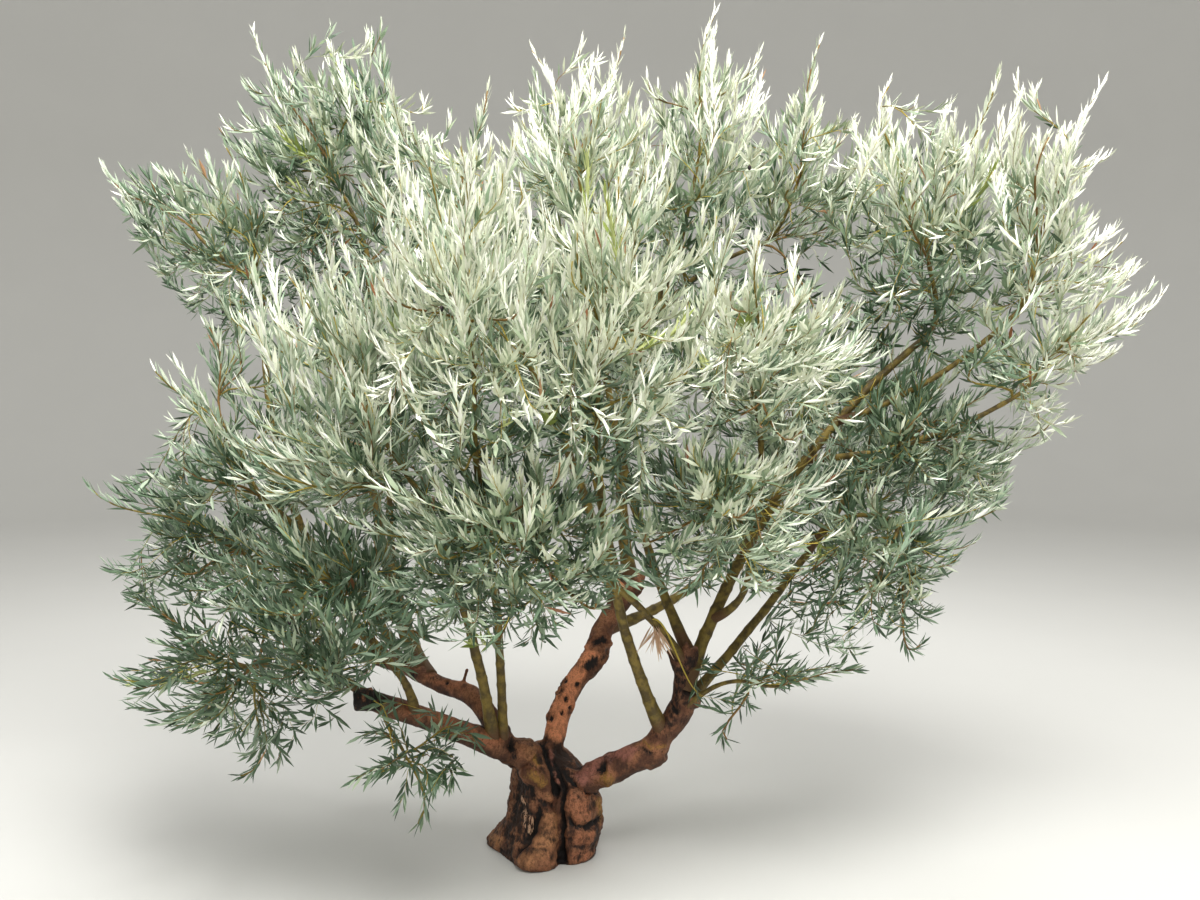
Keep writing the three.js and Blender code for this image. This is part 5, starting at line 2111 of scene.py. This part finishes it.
@dataclass
class SmallThings:
    """The few ripe olives, the tuft of dried leaves and the long hanging shoot near the right bough."""

    olive_length: float = 17.0
    olive_width: float = 12.5
    olive_end: float = 0.6
    olive_stalk: float = 9.0
    olive_rings: int = 7
    olive_sides: int = 8
    olives_on_twigs: int = 26
    shown: tuple[Place, ...] = ((625, -60, 1780), (640, -60, 1648), (-452, -420, 1400))
    shown_share: float = 0.8
    share_on_twig: Range = (0.35, 0.75)
    shoot: tuple[Place, ...] = (
        (352, -236, 838), (392, -262, 852), (424, -258, 740), (458, -246, 640), (494, -240, 606),
    )
    shoot_radius: float = 3.4
    shoot_taper: float = 0.55
    shoot_rings: int = 26
    shoot_sides: int = 6
    tuft_region: str = "front_under"
    tuft: Place = (362, -232, 812)
    tuft_scatter: float = 6.0
    tuft_leaves: int = 17
    tuft_spread: Range = (0.1, 1.0)
    tuft_slimness: float = 0.5
    tuft_size: Range = (75.0, 125.0)

    def add_olive(self, shape: Shape, at: Array) -> None:
        """Adds an olive that hangs from a place."""
        turns = np.linspace(0, np.pi, self.olive_rings)
        centres = at - UP * (self.olive_stalk + self.olive_length / 2 * (1 - np.cos(turns)))[:, None]
        radii = np.maximum(self.olive_width / 2 * np.sin(turns), self.olive_end)
        shape.add_tube(centres, radii, self.olive_sides)

    def build_olives(self, twigs: Sequence[Twig]) -> None:
        """Makes the olives: those that show in the reference view, and a few more all round."""
        chance = np.random.default_rng(OLIVE_SEED)
        shape = Shape()
        tips = np.array([twig.curve.points[-1] for twig in twigs])
        for place in self.shown:
            nearest = int(np.argmin(np.linalg.norm(tips - np.array(place), axis=1)))
            self.add_olive(shape, twigs[nearest].curve.at([self.shown_share])[0])
        for i in chance.choice(len(twigs), self.olives_on_twigs, replace=False):
            self.add_olive(shape, twigs[i].curve.at([chance.uniform(*self.share_on_twig)])[0])
        hand_over(shape.build("olives", [OliveSkin().make()], True))

    def build_shoot(self, wood: Material) -> None:
        """Makes the hanging shoot of a twig's material."""
        t = np.linspace(0, 1, self.shoot_rings)
        centres = Curve(np.array(self.shoot, float)).at(t)
        shape = Shape()
        shape.add_tube(centres, self.shoot_radius * (1 - self.shoot_taper * t), self.shoot_sides)
        hand_over(shape.build("hanging_shoot", [wood], True))

    def add_tuft(self, foliage: Foliage) -> None:
        """Adds the tuft of dried leaves to a region's foliage."""
        chance = np.random.default_rng(TUFT_SEED)
        count = self.tuft_leaves
        turn = chance.uniform(0, 2 * np.pi, count)
        spread = chance.uniform(*self.tuft_spread, count)
        heading = unit(np.stack([np.cos(turn) * spread, np.sin(turn) * spread, -np.ones(count)], axis=1))
        face = unit(np.cross(heading, chance.normal(size=(count, 3))))
        at = np.array(self.tuft) + chance.normal(0, self.tuft_scatter, (count, 3))
        size = chance.uniform(*self.tuft_size, count)
        foliage.place_leaves(at, heading, face, size, np.full(count, STRAW), chance, self.tuft_slimness)


@dataclass(frozen=True)
class Lamp:
    """A round soft light: its place and its width in metres, its power in watts and its colour."""

    name: str
    place: Place
    width: float
    power: float
    colour: Colour


@dataclass
class Studio:
    """The floor, the lights and the camera. The floor is in millimetres, the lamps in metres."""

    sensor: float = 36.0
    far_clip: float = 100.0
    floor_reach: float = 11000.0
    rim: float = 5000.0
    rim_rings: int = 13
    wall_height: float = 13000.0
    sides: int = 96
    pale: Colour = linear(206, 205, 201)
    shade: float = 0.96
    shade_size: float = 900.0
    floor_roughness: float = 0.9
    sky: tuple[float, ...] = (1.0, 1.0, 0.98, 1.0)
    sky_strength: float = 0.78
    aim: Place = (0, 0, 1.3)
    lamps: tuple[Lamp, ...] = (
        Lamp("key", (0.9, -3.2, 6.4), 4.0, 620, (1.0, 1.0, 0.98)),
        Lamp("fill", (-4.5, -3.0, 3.6), 3.5, 60, (0.95, 0.98, 1.0)),
        Lamp("back", (0.8, 3.8, 5.6), 4.0, 150, (1.0, 1.0, 1.0)),
    )

    def add_floor(self) -> None:
        """Adds a plain floor that turns up softly into a wall all round."""
        bends = np.linspace(0, np.pi / 2, self.rim_rings)
        reach = np.append(self.floor_reach + self.rim * np.sin(bends), self.floor_reach + self.rim)
        height = np.append(self.rim * (1 - np.cos(bends)), self.wall_height)
        turns = np.arange(self.sides) * 2 * np.pi / self.sides
        corners = np.empty((len(reach), self.sides, 3))
        corners[..., 0] = reach[:, None] * np.cos(turns)
        corners[..., 1] = reach[:, None] * np.sin(turns)
        corners[..., 2] = height[:, None]
        walls = ring_walls(len(reach), self.sides)[:, ::-1]
        shape = Shape()
        shape.add(corners.reshape(-1, 3), [walls, np.arange(self.sides)[None]])
        graph = Graph("floor")
        grain = graph.grain(graph.place(), self.shade_size, 2)
        colour = graph.mix(grain, self.pale, tuple(self.shade * value for value in self.pale))
        finish = graph.finish(Base_Color=colour, Roughness=self.floor_roughness)
        shape.build("floor", [finish], True)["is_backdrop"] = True

    def add_lamp(self, lamp: Lamp) -> None:
        """Adds a soft light that points at the crown."""
        light = bpy.data.lights.new(lamp.name, "AREA")
        light.shape = "DISK"
        light.size = lamp.width
        light.energy = lamp.power
        light.color = lamp.colour
        made = add_object(lamp.name, light)
        made.location = lamp.place
        way = Vector(self.aim) - Vector(lamp.place)
        made.rotation_euler = way.to_track_quat("-Z", "Y").to_euler()
        made.visible_camera = False

    def add_sky(self) -> None:
        """Adds the even light from all round."""
        world = bpy.data.worlds.new("soft")
        world.use_nodes = True
        background = world.node_tree.nodes["Background"]
        background.inputs["Color"].default_value = self.sky
        background.inputs["Strength"].default_value = self.sky_strength
        bpy.context.scene.world = world

    def add_camera(self) -> None:
        """Adds the camera at the reference view."""
        camera = bpy.data.cameras.new("view")
        camera.sensor_width = self.sensor
        camera.lens = self.sensor * FOCAL / PICTURE[0]
        camera.clip_end = self.far_clip
        made = add_object("view", camera)
        made.location = Vector(EYE) * METRES
        made.rotation_euler = (math.radians(90 - TILT), 0, 0)
        bpy.context.scene.camera = made

    def build(self) -> None:
        """Makes everything."""
        self.add_floor()
        self.add_sky()
        for lamp in self.lamps:
            self.add_lamp(lamp)
        self.add_camera()
        bpy.context.scene.view_settings.view_transform = "Standard"


def main() -> None:
    """Builds the tree around the frame, and the studio around the tree."""
    logging.basicConfig(level=logging.INFO, format="%(name)s: %(message)s")
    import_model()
    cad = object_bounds()
    skeleton = Skeleton()
    spaces = Spaces(skeleton)
    Bark(skeleton).build()
    stems = Stems(skeleton, spaces)
    stems.grow_inner()
    stems.build()
    finishes = [finish for tint in TINTS for finish in tint.make()]
    woods = [tint.make() for tint in TWIG_TINTS]
    lowest, highest = (np.array(corner) / METRES for corner in cad)
    indices = {mass.name: i for i, mass in enumerate(MASSES)}
    grown: list[list[Twig]] = []
    for region in REGIONS:
        twigs: list[Twig] = []
        for name in region.masses:
            radius = skeleton.limbs[f"stem_{name}"].row.thin
            stem = stems.inner[name]
            growth = Growth(indices[name], spaces, stem, radius, region.density, lowest, highest)
            twigs += growth.build()
        grown.append(twigs)
    everything = list(itertools.chain(*grown))
    lights = iter(Daylight().at(np.array([twig.curve.points[-1] for twig in everything])))
    small = SmallThings()
    for region, twigs in zip(REGIONS, grown):
        foliage = Foliage(spaces)
        if region.name == small.tuft_region:
            small.add_tuft(foliage)
        foliage.grow(region, twigs, list(itertools.islice(lights, len(twigs))))
        foliage.build(region, finishes, woods)
    small.build_olives(everything)
    small.build_shoot(woods[YELLOW_WOOD])
    Studio().build()


if __name__ == "__main__":
    main()
